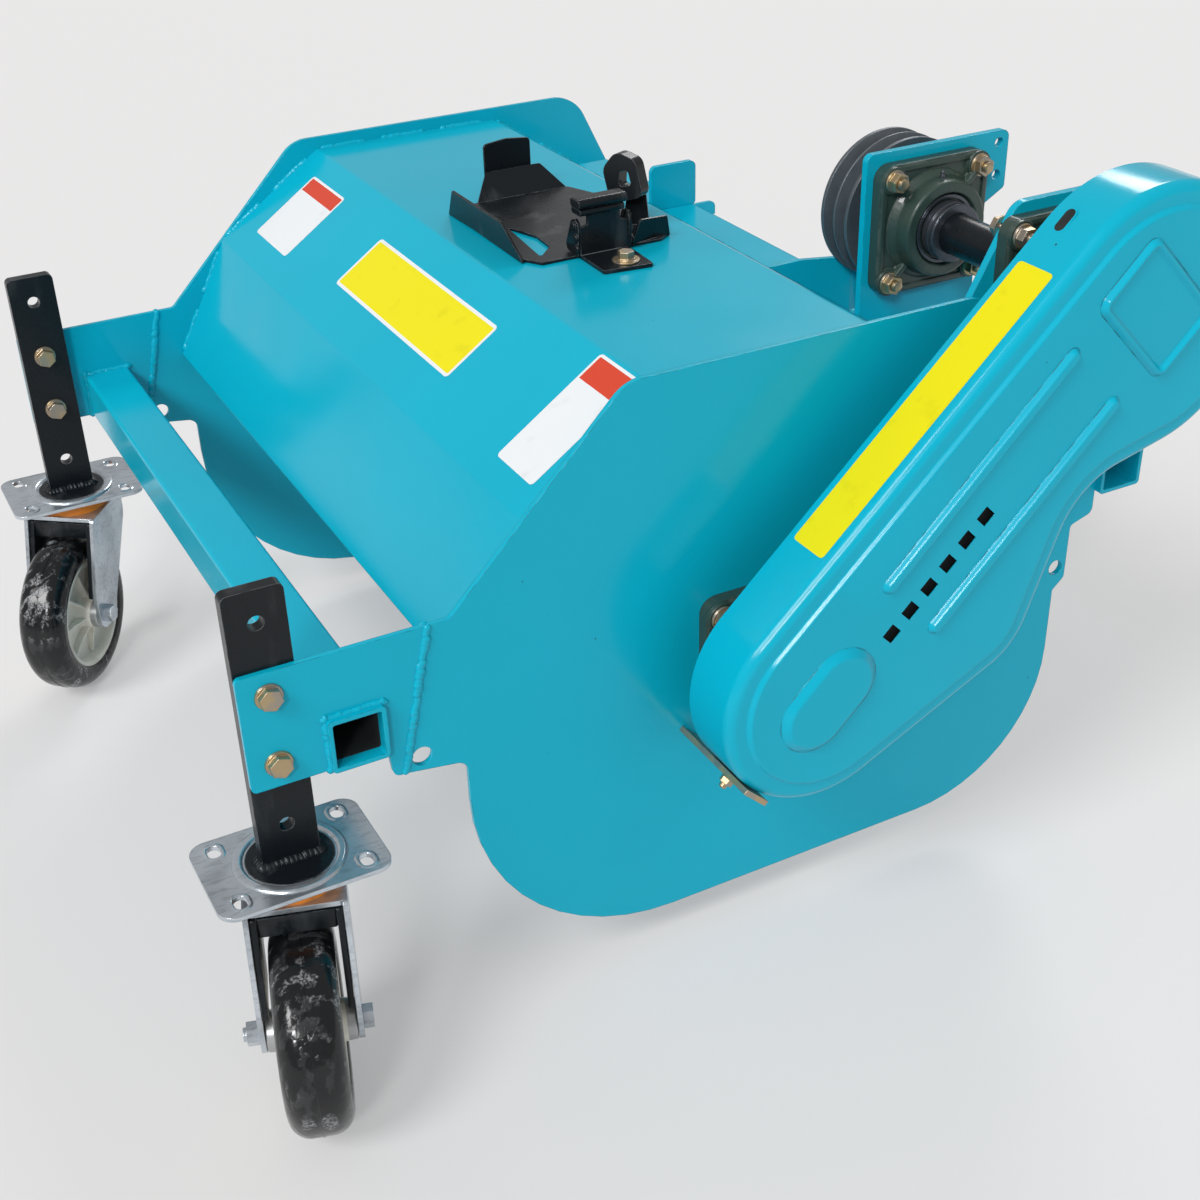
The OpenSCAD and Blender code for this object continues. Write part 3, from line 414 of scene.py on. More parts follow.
def outline_ring(bm, corners, step=6.0):
    """Vertices round an outline in X and Y; each corner [x, y, radius] is spun round its own centre."""
    ring = []
    count = len(corners)
    for i, (x, y, r) in enumerate(corners):
        here = Vector((x, y, 0))
        came = (here - Vector((*corners[i - 1][:2], 0))).normalized()
        goes = (Vector((*corners[(i + 1) % count][:2], 0)) - here).normalized()
        turn = math.atan2(came.x * goes.y - came.y * goes.x, came.dot(goes))
        if r < 0.01 or abs(turn) < 1e-4:
            ring += bmesh.ops.create_vert(bm, co=here)["vert"]
            continue
        start = bmesh.ops.create_vert(bm, co=here - came * (r * math.tan(abs(turn) / 2)))["vert"][0]
        centre = start.co + Vector((-came.y, came.x, 0)) * math.copysign(r, turn)
        known = len(bm.verts)
        bmesh.ops.spin(bm, geom=[start], cent=centre, axis=(0, 0, 1), dvec=(0, 0, 0), angle=turn,
                       steps=max(2, math.ceil(math.degrees(abs(turn)) / step)))
        bm.verts.ensure_lookup_table()
        ring += [start, *bm.verts[known:]]
    kept = [v for i, v in enumerate(ring) if (v.co - ring[i - 1].co).length > 0.02]
    bmesh.ops.delete(bm, geom=[v for v in ring if v not in kept], context="VERTS")
    return kept


def outline_wire(bm, corners, step=6.0):
    """Closed loop of edges round an outline."""
    ring = outline_ring(bm, corners, step)
    wire = []
    for i, vert in enumerate(ring):
        edge = bm.edges.get((ring[i - 1], vert))
        wire += [edge] if edge else bmesh.ops.contextual_create(bm, geom=[ring[i - 1], vert])["edges"]
    return wire


def outline_face(bm, corners, step=6.0):
    """Flat face with an outline, looking along Z."""
    face = bmesh.ops.contextual_create(bm, geom=outline_wire(bm, corners, step))["faces"][0]
    face.normal_update()
    if face.normal.z < 0:
        bmesh.ops.reverse_faces(bm, faces=[face])
    bm.normal_update()
    return face


def box_corners(cx, cy, w, h, r, turn=0.0):
    """Corners of a rounded rectangle, turned about its middle."""
    c, s = math.cos(math.radians(turn)), math.sin(math.radians(turn))
    half = [(-w / 2, -h / 2), (w / 2, -h / 2), (w / 2, h / 2), (-w / 2, h / 2)]
    return [(cx + c * x - s * y, cy + s * x + c * y, r) for x, y in half]


def raised(bm, faces, rise):
    """Extrude faces along Z and give the new top faces."""
    new = bmesh.ops.extrude_face_region(bm, geom=faces)["geom"]
    bmesh.ops.translate(bm, verts=[g for g in new if isinstance(g, bmesh.types.BMVert)], vec=(0, 0, rise))
    return [g for g in new if isinstance(g, bmesh.types.BMFace)]


def round_corners(r):
    """Corners of a circle."""
    return box_corners(0, 0, 2 * r, 2 * r, r - 0.01)


def stepped(bm, face, steps, lone=False):
    """Press a face step by step, each going in and up; a lone face has no neighbours."""
    for inset, rise in steps:
        bmesh.ops.inset_region(bm, faces=[face], thickness=inset, depth=rise, use_even_offset=True, use_boundary=lone)


def pressed(bm, corners, z, steps, step=9.0):
    """A pressed form on a panel at height z."""
    face = outline_face(bm, corners, step)
    bmesh.ops.translate(bm, verts=face.verts[:], vec=(0, 0, z))
    stepped(bm, face, steps, True)
    return face


def bevelled(bm, edges, offset, segments=2):
    bmesh.ops.bevel(bm, geom=edges, offset=offset, offset_type="OFFSET", segments=segments, profile=0.5,
                    affect="EDGES", material=-1, clamp_overlap=True)


def sharp_edges(bm, angle):
    return [e for e in bm.edges if len(e.link_faces) == 2 and e.calc_face_angle(0) > math.radians(angle)]


def plate(bm, place, corners, thick, holes=(), edge=0.5, step=12.0):
    """Add a cut sheet: an outline with holes, as thick as said, with softened edges."""
    part = bmesh.new()
    if holes:
        wires = [e for cut in (corners, *holes) for e in outline_wire(part, cut, step)]
        filled = bmesh.ops.triangle_fill(part, use_beauty=True, edges=wires)["geom"]
        faces = [g for g in filled if isinstance(g, bmesh.types.BMFace)]
    else:
        faces = [outline_face(part, corners, step)]
    raised(part, faces, thick)
    bmesh.ops.recalc_face_normals(part, faces=part.faces[:])
    bevelled(part, sharp_edges(part, 60), edge)
    join(bm, part, place)


def join(bm, other, place=Matrix.Identity(4)):
    """Add another shape to this one, at a place."""
    other.transform(place)
    mesh = bpy.data.meshes.new("part")
    other.to_mesh(mesh)
    other.free()
    bm.from_mesh(mesh)
    bpy.data.meshes.remove(mesh)


def turned(bm, corners, steps=72, step=12.0):
    """Spin a closed profile of [radius, height, corner radius] round the Z axis."""
    edges = outline_wire(bm, corners, step)
    verts = list(dict.fromkeys(v for e in edges for v in e.verts))
    bmesh.ops.transform(bm, matrix=UPRIGHT, verts=verts)
    bmesh.ops.spin(bm, geom=verts + edges, cent=(0, 0, 0), axis=(0, 0, 1), dvec=(0, 0, 0),
                   angle=2 * math.pi, steps=steps, use_merge=True)
    bmesh.ops.remove_doubles(bm, verts=bm.verts[:], dist=1e-4)
    bmesh.ops.recalc_face_normals(bm, faces=bm.faces[:])


def frame_of(point, along, up):
    """Matrix with X along a line and Z as near as can be to up."""
    x = Vector(along).normalized()
    y = Vector(up).cross(x).normalized()
    z = x.cross(y)
    return Matrix.Translation(point) @ Matrix((x, y, z)).transposed().to_4x4()


def aimed(point, axis):
    """Matrix with Z along an axis."""
    return Matrix.Translation(point) @ Vector(axis).to_track_quat("Z", "Y").to_matrix().to_4x4()


def standing(y):
    """Matrix that stands a sheet up in X and Z, with its thickness forwards of y."""
    return frame_of((0, y, 0), (1, 0, 0), (0, -1, 0))


def piece(name, bm, slot, *materials, body="deck", replaces=(), weighted=False, wall=None):
    """Put a shape drawn in the deck frame into the scene as a piece on a body, in its slot's finish or its own."""
    materials = materials or (NODE_FINISH[slot](),)
    bm.transform(PLACE)
    mesh = bpy.data.meshes.new(name)
    for face in bm.faces:
        face.smooth = True
    for edge in sharp_edges(bm, 40):
        edge.smooth = False
    bm.to_mesh(mesh)
    bm.free()
    for material in materials:
        mesh.materials.append(material)
    thing = bpy.data.objects.new(name, mesh)
    bpy.context.scene.collection.objects.link(thing)
    if wall:
        solid = thing.modifiers.new("wall", "SOLIDIFY")
        solid.thickness = wall * MM
        solid.offset = -1
        solid.material_offset = len(materials) - 1
    if weighted:
        even = thing.modifiers.new("even", "WEIGHTED_NORMAL")
        even.keep_sharp = True
    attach(thing, body)
    if replaces:
        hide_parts(*replaces)


# Belt cover

COVER_X, COVER_DEPTH, COVER_WALL, FOLD_R, RIM_W = 446.0, 62.0, 2.0, 10.0, 8.0
LOW_R, TOP_R, BULGE_R, NECK_R = 101.8, 121.7, 70, 80
NECK, BULGE = JACK + Vector((-63, -140)), ROTOR + Vector((207, -14))
AXIS = JACK - ROTOR
BELT_ANGLE = math.degrees(math.atan2(AXIS.y, AXIS.x))
PRESS_ANGLE = BELT_ANGLE + 4.0
WALL_ANGLE = BELT_ANGLE + math.degrees(math.asin((TOP_R - LOW_R) / AXIS.length))
ON_COVER = moved(COVER_X) @ ON_SIDE
# Slopes of the pressings, in steps of [in, up]
FIELD = ((RIM_W, 0), (1.0, 0.5), (1.2, 1.5), (1.2, 1.5), (1.0, 0.5))
RIDGE = ((0.7, 0.6), (1.4, 2.0), (1.4, 1.9), (0.9, 0.4))
DOME = ((1.2, 0.6), (2.2, 1.9), (2.4, 1.9), (1.6, 0.9), (1.2, 0.3))
FRAMED = (*RIDGE, (1.2, 0), *((inset, -0.75 * rise) for inset, rise in RIDGE))
HOLE_LIP = ((0.6, 0.25), (0.7, 0.1), (0.5, -0.3))
# Pressings: place along and across the belts, length, width, corner radius, slope
PRESSINGS = ((226, 49.8, 256, 15, 7.3, RIDGE), (229.6, -26, 256, 15, 7.3, RIDGE), (0, 5, 106, 70, 34.5, DOME),
             (428, 20, 78, 116, 12, FRAMED))
# Near-black sheet of painted shade behind the vents, so that they look dark: place along and across the belts, length,
# width, corner radius
VENT_SHADE = (142, 4, 170, 44, 6)
# Row of vents: middle of the first one along the belts, pitch, half width, count
VENT_START, VENT_PITCH, VENT_HALF, VENTS = 78.3, 25.4, 7.0, 6
# Slot and hole in the upper wall: place along it, X, length, width
WALL_HOLES = ((430, 464, 26, 14), (408, 474, 5.4, 5.4))


def wrapped(centre, r, start, end, count=4):
    """Corners that carry an outline round a centre between two edge directions."""
    part = (end - start) / count
    out = r / math.cos(math.radians(part / 2))
    for k in range(count):
        a = math.radians(start + part * (k + 0.5) - 90)
        yield centre.x + out * math.cos(a), centre.y + out * math.sin(a), r


def cover_corners():
    """Outline of the cover round both pulleys."""
    low = BULGE - ROTOR
    low_edge = math.degrees(math.atan2(low.y, low.x) + math.asin(LOW_R / low.length))
    up = JACK - NECK
    neck_edge = math.degrees(math.atan2(up.y, up.x) - math.asin(TOP_R / up.length))
    return [*wrapped(ROTOR, LOW_R, WALL_ANGLE + 180, low_edge + 360), (*BULGE, BULGE_R), (*NECK, NECK_R),
            *wrapped(JACK, TOP_R, neck_edge, WALL_ANGLE + 180)]


def on_belts(s, t):
    """Place on the cover's face: s along the line of the axes from the rotor, t across it."""
    u = AXIS.normalized()
    return ROTOR + u * s + Vector((-u.y, u.x)) * t


def on_cover(s, t, w, h, r):
    """Corners of a rounded rectangle on the cover's face, laid along its pressings."""
    return box_corners(*on_belts(s, t), w, h, r, PRESS_ANGLE)


def cover_wall(lift):
    """Place over the foot of the cover's upper wall, with X up the wall and Z outwards."""
    along = Vector((0, *heading(WALL_ANGLE)))
    out = Vector((0, -along.z, along.y))
    return frame_of(Vector((0, *ROTOR)) + out * (LOW_R + lift), along, out)


class MOWER_OT_belt_cover(bpy.types.Operator):
    """Pressed steel belt cover with its ribs, boss, vents and wall holes, with painted shade on its inside, behind its
    vents and in its wall holes
    """

    bl_idname = "mower.belt_cover"
    bl_label = "Belt cover"

    def execute(self, context):
        bm = bmesh.new()
        back = outline_face(bm, cover_corners(), 4.0)
        front = raised(bm, [back], COVER_DEPTH)[0]
        bmesh.ops.delete(bm, geom=[back], context="FACES")
        bevelled(bm, front.edges[:], FOLD_R, 6)
        panel = max(bm.faces, key=lambda f: f.calc_area())
        stepped(bm, panel, FIELD)
        top = panel.calc_center_median().z
        self.cut_vents(bm, top)
        for *box, slope in PRESSINGS:
            pressed(bm, on_cover(*box), top, slope)
        bm.transform(ON_COVER)
        # The wall's inner shell takes the last material, painted shade that darkens the inside of the cover.
        piece("pressed_belt_cover", bm, "teal_paint", teal_enamel(), dark_hollow(),
              replaces=["belt_cover"], weighted=True, wall=COVER_WALL)
        self.wall_holes()
        # Painted shade: a near-black sheet just inside the face, seen through the vents.
        vent_shade_sheet = bmesh.new()
        plate(vent_shade_sheet, moved(z=COVER_DEPTH - 5), on_cover(*VENT_SHADE), 0.8)
        vent_shade_sheet.transform(ON_COVER)
        piece("vent_painted_shade", vent_shade_sheet, "teal_paint", dark_hollow())
        return {"FINISHED"}

    def cut_vents(self, bm, top):
        """Cut the row of square vents out of the panel."""
        first = on_belts(VENT_START, 0)
        u = heading(PRESS_ANGLE)
        v = Vector((-u.y, u.x))

        def panel_faces():
            return [f for f in bm.faces if abs(f.calc_center_median().z - top) < 1e-3 and f.normal.z > 0.99]

        cuts = [(u * (VENT_PITCH * k + side * VENT_HALF), u) for k in range(VENTS) for side in (-1, 1)]
        cuts += [(v * side * VENT_HALF, v) for side in (-1, 1)]
        for away, normal in cuts:
            flat = panel_faces()
            near = list(dict.fromkeys(g for f in flat for g in (*f.verts, *f.edges)))
            bmesh.ops.bisect_plane(bm, geom=flat + near, dist=1e-4, plane_co=(*(first + away), top),
                                   plane_no=(*normal, 0))
        holes = []
        for face in panel_faces():
            away = face.calc_center_median().xy - first
            s, t = away.dot(u), away.dot(v)
            k = round(s / VENT_PITCH)
            if abs(t) < VENT_HALF and 0 <= k < VENTS and abs(s - k * VENT_PITCH) < VENT_HALF:
                holes.append(face)
        bmesh.ops.delete(bm, geom=holes, context="FACES")

    def wall_holes(self):
        """Oval slot and drilled hole in the upper wall, each a shallow pressing whose inside is painted shade."""
        bm = bmesh.new()
        for s, x, w, h in WALL_HOLES:
            ring = bmesh.new()
            inside = pressed(ring, box_corners(0, 0, w, h, h / 2 - 0.2), 0.05, HOLE_LIP)
            # The floor of each pressing is painted shade, dark as the inside of a hole.
            inside.material_index = 1
            join(bm, ring, cover_wall(0) @ moved(s, -x))
        piece("cover_wall_holes", bm, "teal_paint", teal_enamel(), dark_hollow())


# Casters

AXLE_R, HUB_R, HUB_END = 6.05, 17.0, 37.9
CORE_RIB = [(18, 11, 0), (57, 7, 0), (57, 15, 2), (36, 19, 6), (18, 25, 0)]
CORE_RIBS, CORE_RIB_T = 8, 3.2
# Black sheets of painted shade inside each fork: the cheeks' place in Y and thickness, the crown bar's height, the
# sheets' low and top edges, then the cheeks' outline
CHEEK_Y, CHEEK_T, BAR_T, FORK_SHADE_LOW, FORK_SHADE_TOP = 37.8, 5.2, 19.5, WHEEL_R - RIDE + 26, 171.5
CHEEK = [(13, FORK_SHADE_LOW, 2), (70, FORK_SHADE_LOW, 2), (70, FORK_SHADE_LOW + 5, 2), (43, FORK_SHADE_TOP, 3), (-31, FORK_SHADE_TOP, 3),
         (-31, FORK_SHADE_TOP - 24, 3)]
SLOT_X, SLOT_Y, SLOT_L, SLOT_W = 36, 54, 24, 19
SLOT_LIP = ((1.2, 0.5), (1.2, 0.4), (1.0, -0.3), (0.6, -0.6))


def at_caster(side):
    return moved(LEG_X if side == "right" else -LEG_X, LEG_Y)


def at_swivel(side):
    return at_caster(side) @ spun(SWIVEL[side])


def at_wheel(side):
    return at_swivel(side) @ moved(TRAIL, 0, WHEEL_R - RIDE) @ spun(-90, "X")


def both_ways(half):
    """Whole profile of a wheel from the half above its middle."""
    return [(r, -z, corner) for r, z, corner in half] + half[::-1]


class MOWER_OT_wheels(bpy.types.Operator):
    """Solid rubber tyres on ribbed cores, their hub sleeves and black sheets of painted shade inside the forks"""

    bl_idname = "mower.wheels"
    bl_label = "Wheels"

    def execute(self, context):
        for side in SIDES:
            for make in (self.tyre, self.core, self.sleeves, self.liner):
                make(side)
        return {"FINISHED"}

    def tyre(self, side):
        """Round tyre with a moulding seam along its tread."""
        bm = bmesh.new()
        wall, tread, seam = WHEEL_W / 2 - 0.6, WHEEL_R - 0.6, WHEEL_R - 0.05
        turned(bm, both_ways([(CORE_R, wall - 2.5, 0), (CORE_R + 3, wall - 0.8, 1), (CORE_R + 9, wall, 9),
                              (tread, wall - 2, 19), (tread, 1.2, 0), (seam, 0.7, 0)]), 96, 8)
        bm.transform(at_wheel(side))
        piece("tyre_" + side, bm, "tyre_rubber", body="wheel_" + side, replaces=["wheel_tyre_" + side])

    def core(self, side):
        """Dished core with its hub and the ribs on both faces."""
        bm = bmesh.new()
        turned(bm, both_ways([(AXLE_R, HUB_END, 0), (HUB_R, HUB_END, 1.5), (20, 14, 6), (56.5, 9, 8), (60.5, 25, 2.5),
                              (CORE_R, 25, 1.2)]))
        for face in (0, 180):
            for k in range(CORE_RIBS):
                rib = bmesh.new()
                plate(rib, standing(CORE_RIB_T / 2), CORE_RIB, CORE_RIB_T)
                join(bm, rib, spun(face, "X") @ spun(360 * k / CORE_RIBS))
        bm.transform(at_wheel(side))
        piece("core_" + side, bm, "cream_core", body="wheel_" + side, replaces=["wheel_core_" + side])

    def sleeves(self, side):
        """Turned steel sleeves over both ends of the hub."""
        bm = bmesh.new()
        end = HUB_END + 0.05
        for face in (0, 180):
            sleeve = bmesh.new()
            turned(sleeve, [(8, 20, 0), (18.6, 20, 1), (17.6, end, 1.6), (8, end, 0.5)], 40)
            join(bm, sleeve, spun(face, "X"))
        bm.transform(at_wheel(side))
        piece("hub_sleeves_" + side, bm, "cream_core", turned_steel(), body="wheel_" + side)

    def liner(self, side):
        """Black cheeks of painted shade inside the fork's legs and a bar of it under its crown."""
        bm = bmesh.new()
        for y in (CHEEK_Y, CHEEK_T - CHEEK_Y):
            plate(bm, standing(y), CHEEK, CHEEK_T)
        plate(bm, moved(31, 0, FORK_SHADE_TOP - BAR_T), box_corners(0, 0, 24, 65, 2), BAR_T)
        bm.transform(at_swivel(side))
        piece("fork_liner_" + side, bm, "black_paint", body="caster_" + side)


class MOWER_OT_caster_plates(bpy.types.Operator):
    """Pressed ring and slot rims of the caster plates"""

    bl_idname = "mower.caster_plates"
    bl_label = "Caster plates"

    def execute(self, context):
        for side in SIDES:
            bm = bmesh.new()
            turned(bm, [(38.5, -0.3, 0), (48.5, -0.3, 0), (47, 2.4, 3.5), (40, 2.4, 3.5)], 72, 15)
            bm.transform(moved(z=CASTER_TOP))
            for x in (-SLOT_X, SLOT_X):
                for y in (-SLOT_Y, SLOT_Y):
                    rim = bmesh.new()
                    hole = pressed(rim, box_corners(x, y, SLOT_L, SLOT_W, 9.2), CASTER_TOP + 0.05, SLOT_LIP, 15)
                    bmesh.ops.delete(rim, geom=[hole], context="FACES")
                    join(bm, rim)
            paint = bmesh.new()
            turned(paint, [(4, 0.03, 0), (37.6, 0.03, 0), (36.4, 0.6, 0.4), (4, 0.9, 0)], 48)
            paint.transform(at_caster(side) @ moved(z=CASTER_TOP))
            piece("painted_ring_" + side, paint, "black_paint")
            bm.transform(at_caster(side))
            piece("caster_pressing_" + side, bm, "white_zinc")
        return {"FINISHED"}


# Fasteners

# Thread diameters, and the heights of nuts and heads by diameter
LEG_D, BEARING_D, COVER_D, TRAY_D = 12.5, 12.0, 8.0, 10.0
LEG_NUT, BEARING_NUT, COVER_NUT, TRAY_HEAD, BOLT_HEAD = 0.52, 0.72, 0.75, 0.70, 0.66
LEG_GRIP, WASHER_T = 17.0, 2.0


def cone(z, r1, r2, height, segments):
    """New shape: a capped cone on the height z."""
    bm = bmesh.new()
    bmesh.ops.create_cone(bm, cap_ends=True, cap_tris=False, segments=segments, radius1=r1, radius2=r2, depth=height,
                          matrix=moved(z=z + height / 2))
    return bm


def hexagon(bm, z, r, height):
    """Hex prism with a chamfered, slightly dished top."""
    head = cone(z, r, r, height, 6)
    top = [e for e in head.edges if all(v.co.z > z + height - 1e-4 for v in e.verts)]
    bevelled(head, top, r * 0.11)
    cap = max(head.faces, key=lambda f: (round(f.calc_center_median().z, 4), f.calc_area()))
    stepped(head, cap, [(r * 0.2, -r * 0.05)])
    join(bm, head)


def disc(bm, z, r1, r2, height, segments=32, soft=0.4):
    """Round disc or shank with softened rims."""
    part = cone(z, r1, r2, height, segments)
    bevelled(part, sharp_edges(part, 40), soft)
    join(bm, part)


def stud(bm, z, r, height):
    """Threaded end of a bolt under a rounded tip."""
    pitch = 1.7
    count = max(1, round((height - 1) / pitch))
    for k in range(count):
        disc(bm, z + k * pitch, r, r, pitch, 20, 0.35)
    disc(bm, z + count * pitch, r * 0.94, r * 0.62, 1.2, 20, 0.3)


def hex_end(d, tall, reach):
    """Flanged nut standing on the place, with the bolt's end reaching out of it."""
    bm = bmesh.new()
    disc(bm, 0, d * 0.97, d * 0.90, 2.3)
    hexagon(bm, WASHER_T, d * 0.82, d * tall)
    if reach:
        stud(bm, WASHER_T + d * tall, d * 0.46, reach)
    return bm


def fastener(place, d, grip, tall, reach):
    """Nut with the bolt's end on the place, and the bolt's head under the grip."""
    bm = hex_end(d, tall, reach)
    disc(bm, -grip - 1, d * 0.47, d * 0.47, grip + 2, 20, 0.8)
    head = hex_end(d, BOLT_HEAD, 0)
    join(bm, head, moved(z=-grip) @ spun(180, "X"))
    bm.transform(place)
    return bm


class MOWER_OT_fasteners(bpy.types.Operator):
    """Plated bolts and nuts of the legs, bearings and cover"""

    bl_idname = "mower.fasteners"
    bl_label = "Fasteners"

    def execute(self, context):
        legs = bmesh.new()
        for side in (-1, 1):
            for z in LEG_HOLES:
                seat = aimed((side * PLATE_OUT, LEG_Y, z), (side, 0, 0)) @ spun(11 * side + z)
                join(legs, fastener(seat, LEG_D, LEG_GRIP, LEG_NUT, 0))
        piece("leg_fasteners", legs, "yellow_zinc", replaces=["leg_bolts", "leg_nuts"], weighted=True)
        bearings = bmesh.new()
        top = FLANGE_T + WASHER_T
        for n, (_, side, x, axis, behind) in enumerate(SEATS):
            for y in (-FLANGE_BOLT, FLANGE_BOLT):
                for z in (-FLANGE_BOLT, FLANGE_BOLT):
                    seat = aimed((side * (x + top), axis.x + y, axis.y + z), (side, 0, 0))
                    seat = seat @ spun(17 * n + y + 0.6 * z)
                    join(bearings, fastener(seat, BEARING_D, top + behind, BEARING_NUT, 4.5))
        piece("bearing_fasteners", bearings, "yellow_zinc", replaces=["bearing_bolts"], weighted=True)
        cover = bmesh.new()
        for axis, r, turn in ((ROTOR, 102.0, 226.0), (JACK, 122.0, -40.0)):
            out = Vector((0, *heading(turn)))
            nut = hex_end(COVER_D, COVER_NUT, 3.6)
            disc(nut, -5.2, 3.9, 3.9, 6, 20, 0.3)
            join(cover, nut, aimed(Vector((COVER_X + 24, *axis)) + out * (r + 5.3), out))
        piece("cover_fasteners", cover, "yellow_zinc", replaces=["cover_bolts"], weighted=True)
        return {"FINISHED"}


# Bearings


class MOWER_OT_bearings(bpy.types.Operator):
    """Cast square-flange bearing housings with their steel inserts"""

    bl_idname = "mower.bearings"
    bl_label = "Bearings"

    def execute(self, context):
        races = bmesh.new()
        inserts = {"rotor": bmesh.new(), "jackshaft": bmesh.new()}
        for node, side, x, axis, _ in SEATS:
            place = frame_of((side * x, *axis), (0, side, 0), (side, 0, 0))
            housing = self.housing()
            housing.transform(place)
            piece("cast_" + node, housing, "bearing_iron", replaces=[node], weighted=True)
            race = bmesh.new()
            turned(race, [(30.3, 31.2, 0), (33.9, 31.2, 0), (34.4, 34.6, 0.9), (30.3, 34.6, 0.9)], 48)
            nipple = bmesh.new()
            hexagon(nipple, 0, 4.4, 4)
            disc(nipple, 4, 3.0, 2.0, 4, 16)
            bmesh.ops.create_uvsphere(nipple, u_segments=14, v_segments=8, radius=2.5, matrix=moved(z=9))
            join(race, nipple, aimed((0, 44.5, FLANGE_T + 9), (0, 1, 0)))
            race.transform(place)
            join(races, race)
            ring = self.insert()
            join(inserts["rotor" if axis is ROTOR else "jackshaft"], ring, place)
        piece("bearing_races", races, "steel", blued_steel())
        for body, bm in inserts.items():
            rings = "rotor_bearing_rings" if body == "rotor" else "jackshaft_rings"
            piece(body + "_inserts", bm, "steel", blued_steel(), body=body, replaces=[rings])
        return {"FINISHED"}

    def housing(self):
        """Flange with a raised rim, bolt bosses, diagonal ribs and the round boss."""
        bm = bmesh.new()
        rim = FLANGE_T - 4
        plate(bm, moved(), box_corners(0, 0, FLANGE_W, FLANGE_W, 16), FLANGE_T - 2, [round_corners(50)], 2.0)
        plate(bm, moved(z=rim), box_corners(0, 0, FLANGE_W - 3, FLANGE_W - 3, 14.5), 4,
              [box_corners(0, 0, FLANGE_W - 15, FLANGE_W - 15, 9)], 1.2)
        for angle in (45, 135, 225, 315):
            plate(bm, spun(angle) @ moved(72.1, 0, rim), round_corners(13.5), 5.9, (), 0.9)
            plate(bm, spun(angle) @ moved(53.5, 0, rim), box_corners(0, 0, 26, 6, 1.5), 10, (), 1.6)
        turned(bm, [(26.15, 0, 0), (54.8, 0, 0), (54.8, 14, 3), (49.5, 19, 6), (47, 36, 3), (36.5, 36, 1.2),
                    (34.6, 31, 0.8), (26.15, 31, 0)], 64, 15)
        return bm

    def insert(self):
        """Inner ring and locking collar that turn with the shaft."""
        bm = bmesh.new()
        turned(bm, [(20.02, 2, 0), (25.9, 2, 0), (25.9, 34, 0.2), (28.9, 34.4, 0.5), (28.9, 42.6, 0.6),
                    (27.4, 43.4, 0.3), (27.4, 44.4, 0.3), (28.9, 45.2, 0.6), (28.9, 50.9, 1.6), (20.02, 50.9, 0.6)], 56)
        for angle in (20, 140):
            screw = bmesh.new()
            disc(screw, 0, 2.6, 2.4, 1.0, 16, 0.3)
            join(bm, screw, spun(angle) @ aimed((28.0, 0, 48), (1, 0, 0)))
        return bm


# Holder tray

TRAY_T, FOOT_T, TRAY_SOFT, FOOT_LIFT = 2.6, 4, 0.6, 0.05


